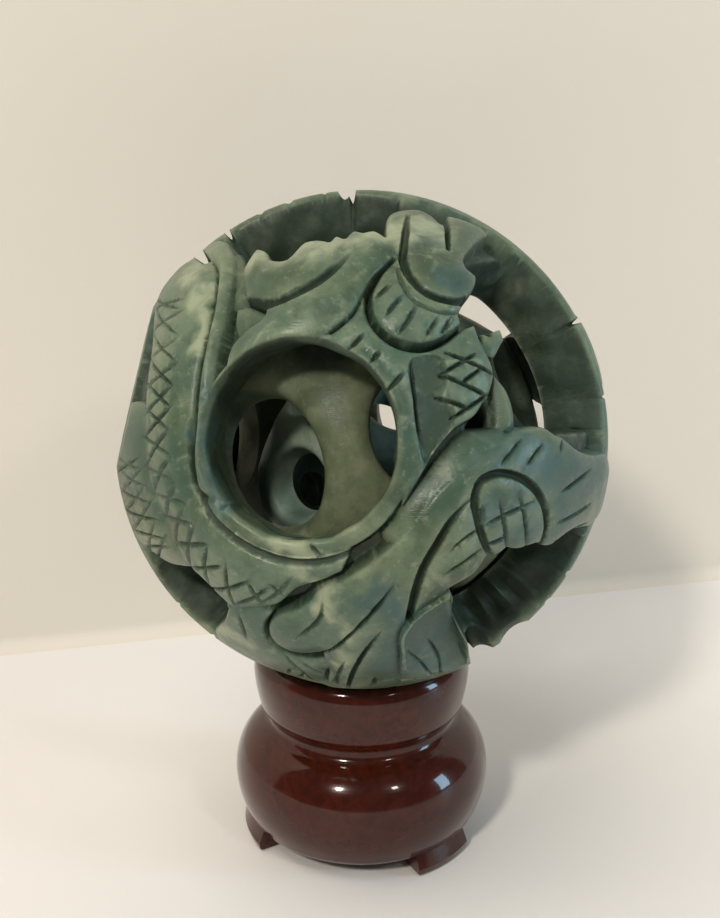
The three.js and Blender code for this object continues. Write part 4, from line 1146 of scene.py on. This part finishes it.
def lacquered_wood():
    """Dark red-brown lacquer over hardwood, with its grain faint below and turning lines in the film."""
    finish = bpy.data.materials.new("dark_wood")
    finish.use_nodes = True
    tree = finish.node_tree
    shade = Shader(tree)
    base = tree.nodes["Principled BSDF"]
    where = shade.add("ShaderNodeTexCoord").outputs["Object"]
    drawn = shade.add("ShaderNodeMapping", {"Vector": where, "Scale": (1, 0.12, 1), "Rotation": (0.1, 0.2, 0.5)})
    grain = shade.noise(420, 5, 0.65, 0.8, drawn.outputs["Vector"])
    cloud = shade.noise(45, 3, 0.5, 0, where)
    color = shade.blend(shade.span(grain, 0.38, 0.66), (0.037, 0.0046, 0.0014, 1), (0.059, 0.0088, 0.0032, 1))
    color = shade.blend(shade.span(cloud, 0.4, 0.66, 0, 0.35), color, (0.026, 0.005, 0.003, 1))
    lines = shade.add("ShaderNodeMapping", {"Vector": where, "Scale": (0.02, 0.02, 1)})
    turning = shade.noise(1400, 3, 0.6, 0, lines.outputs["Vector"])
    orange = shade.noise(260, 2, 0.5, 0, where)
    height = shade.sum(shade.sum(turning, 0.5, "MULTIPLY"), shade.sum(orange, 0.5, "MULTIPLY"))
    relief = shade.add("ShaderNodeBump", {"Height": height, "Strength": 0.26, "Distance": 0.0002})
    rough = shade.span(cloud, 0.3, 0.7, 0.14, 0.24)
    tree.links.new(color, base.inputs["Base Color"])
    tree.links.new(rough, base.inputs["Roughness"])
    tree.links.new(relief.outputs["Normal"], base.inputs["Normal"])
    base.inputs["Specular IOR Level"].default_value = 0.15
    base.inputs["Coat Weight"].default_value = 0.55
    base.inputs["Coat Roughness"].default_value = 0.05
    return finish


stand.data.materials.append(lacquered_wood())
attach(stand, "root")
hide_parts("stand")

# The floor and the wall behind it: plain, pale and warm, meeting in a soft cove. They aren't part of the object.
FLOOR_COLOR = (0.84, 0.81, 0.785, 1)
WALL_COLOR = (0.79, 0.72, 0.625, 1)
COVE_START = 0.077
COVE_RADIUS = 0.003
WALL_TOP = 1.6


def plain_finish(name, color, rough):
    """A plain paint that can be looked through from behind, so that the part is seen from the back as well."""
    finish = bpy.data.materials.new(name)
    finish.use_nodes = True
    tree = finish.node_tree
    shade = Shader(tree)
    base = tree.nodes["Principled BSDF"]
    cloud = shade.noise(6, 3, 0.5)
    tone = shade.blend(shade.span(cloud, 0.3, 0.7), color, (color[0] * 0.95, color[1] * 0.95, color[2] * 0.95, 1))
    tree.links.new(tone, base.inputs["Base Color"])
    base.inputs["Roughness"].default_value = rough
    behind = shade.add("ShaderNodeNewGeometry").outputs["Backfacing"]
    clear = shade.add("ShaderNodeBsdfTransparent").outputs["BSDF"]
    faced = shade.add("ShaderNodeMixShader", {0: behind, 1: base.outputs["BSDF"], 2: clear})
    tree.links.new(faced.outputs["Shader"], tree.nodes["Material Output"].inputs["Surface"])
    return finish


def cove():
    bends = [(-1.2, 0.0), (COVE_START, 0.0)]
    for k in range(1, 9):
        a = math.radians(90 * k / 8)
        bends.append((COVE_START + COVE_RADIUS * math.sin(a), COVE_RADIUS * (1 - math.cos(a))))
    bends.append((COVE_START + COVE_RADIUS, WALL_TOP))
    spots = [(x, y, z) for y, z in bends for x in (-1.6, 1.6)]
    faces = [(2 * k, 2 * k + 1, 2 * k + 3, 2 * k + 2) for k in range(len(bends) - 1)]
    mesh = bpy.data.meshes.new("floor_and_wall")
    mesh.from_pydata(spots, [], faces)
    mesh.materials.append(plain_finish("pale_floor", FLOOR_COLOR, 0.55))
    mesh.materials.append(plain_finish("pale_wall", WALL_COLOR, 0.8))
    for face in mesh.polygons[1:]:
        face.material_index = 1
        face.use_smooth = True
    piece = bpy.data.objects.new("floor_and_wall", mesh)
    bpy.context.collection.objects.link(piece)
    return piece


ground = cove()
ground.rotation_euler.z = math.radians(13.3)


# Soft studio light: a wide soft light over the front, a cool window light at the right and two small warm lamps
def lamp(name, spot, size, power, color, aim=(0, 0, 0.06)):
    light = bpy.data.lights.new(name, "AREA")
    light.shape = "RECTANGLE"
    light.size, light.size_y = size
    light.energy = power
    light.color = color
    holder = bpy.data.objects.new(name, light)
    holder.location = spot
    way = mathutils.Vector(aim) - mathutils.Vector(spot)
    holder.rotation_euler = way.to_track_quat("-Z", "Y").to_euler()
    bpy.context.collection.objects.link(holder)
    return holder


lamp("left_lamp", (-0.42, -0.97, 0.96), (0.13, 0.13), 9.2, (1.0, 0.94, 0.84))
lamp("right_lamp", (0.60, -0.86, 0.90), (0.11, 0.11), 1.5, (1.0, 0.94, 0.86))
soft_top = lamp("soft_top", (-0.35, -0.3, 1.25), (0.8, 0.8), 7.4, (1.0, 0.96, 0.9))
soft_top.visible_glossy = False
lamp("window", (1.15, -0.25, 0.32), (0.22, 0.5), 4.4, (0.5, 0.78, 1.0))
sky = bpy.data.worlds.new("soft_room")
bpy.context.scene.world = sky
bpy.context.scene.view_settings.view_transform = "Standard"
sky.use_nodes = True
sky.node_tree.nodes["Background"].inputs["Color"].default_value = (0.9, 0.9, 0.88, 1)
sky.node_tree.nodes["Background"].inputs["Strength"].default_value = 0.15

# The camera: close, above and in front, looking down at the carved face
camera = bpy.data.objects.new("camera", bpy.data.cameras.new("camera"))
camera.location = (0, -0.228625, 0.153360)
look = mathutils.Vector((-0.001, 0.937009, -0.349305))
camera.rotation_euler = look.to_track_quat("-Z", "Y").to_euler()
camera.data.sensor_width = 36
camera.data.lens = 58.8235
camera.data.clip_start = 0.01
camera.data.clip_end = 10
bpy.context.collection.objects.link(camera)
bpy.context.scene.camera = camera
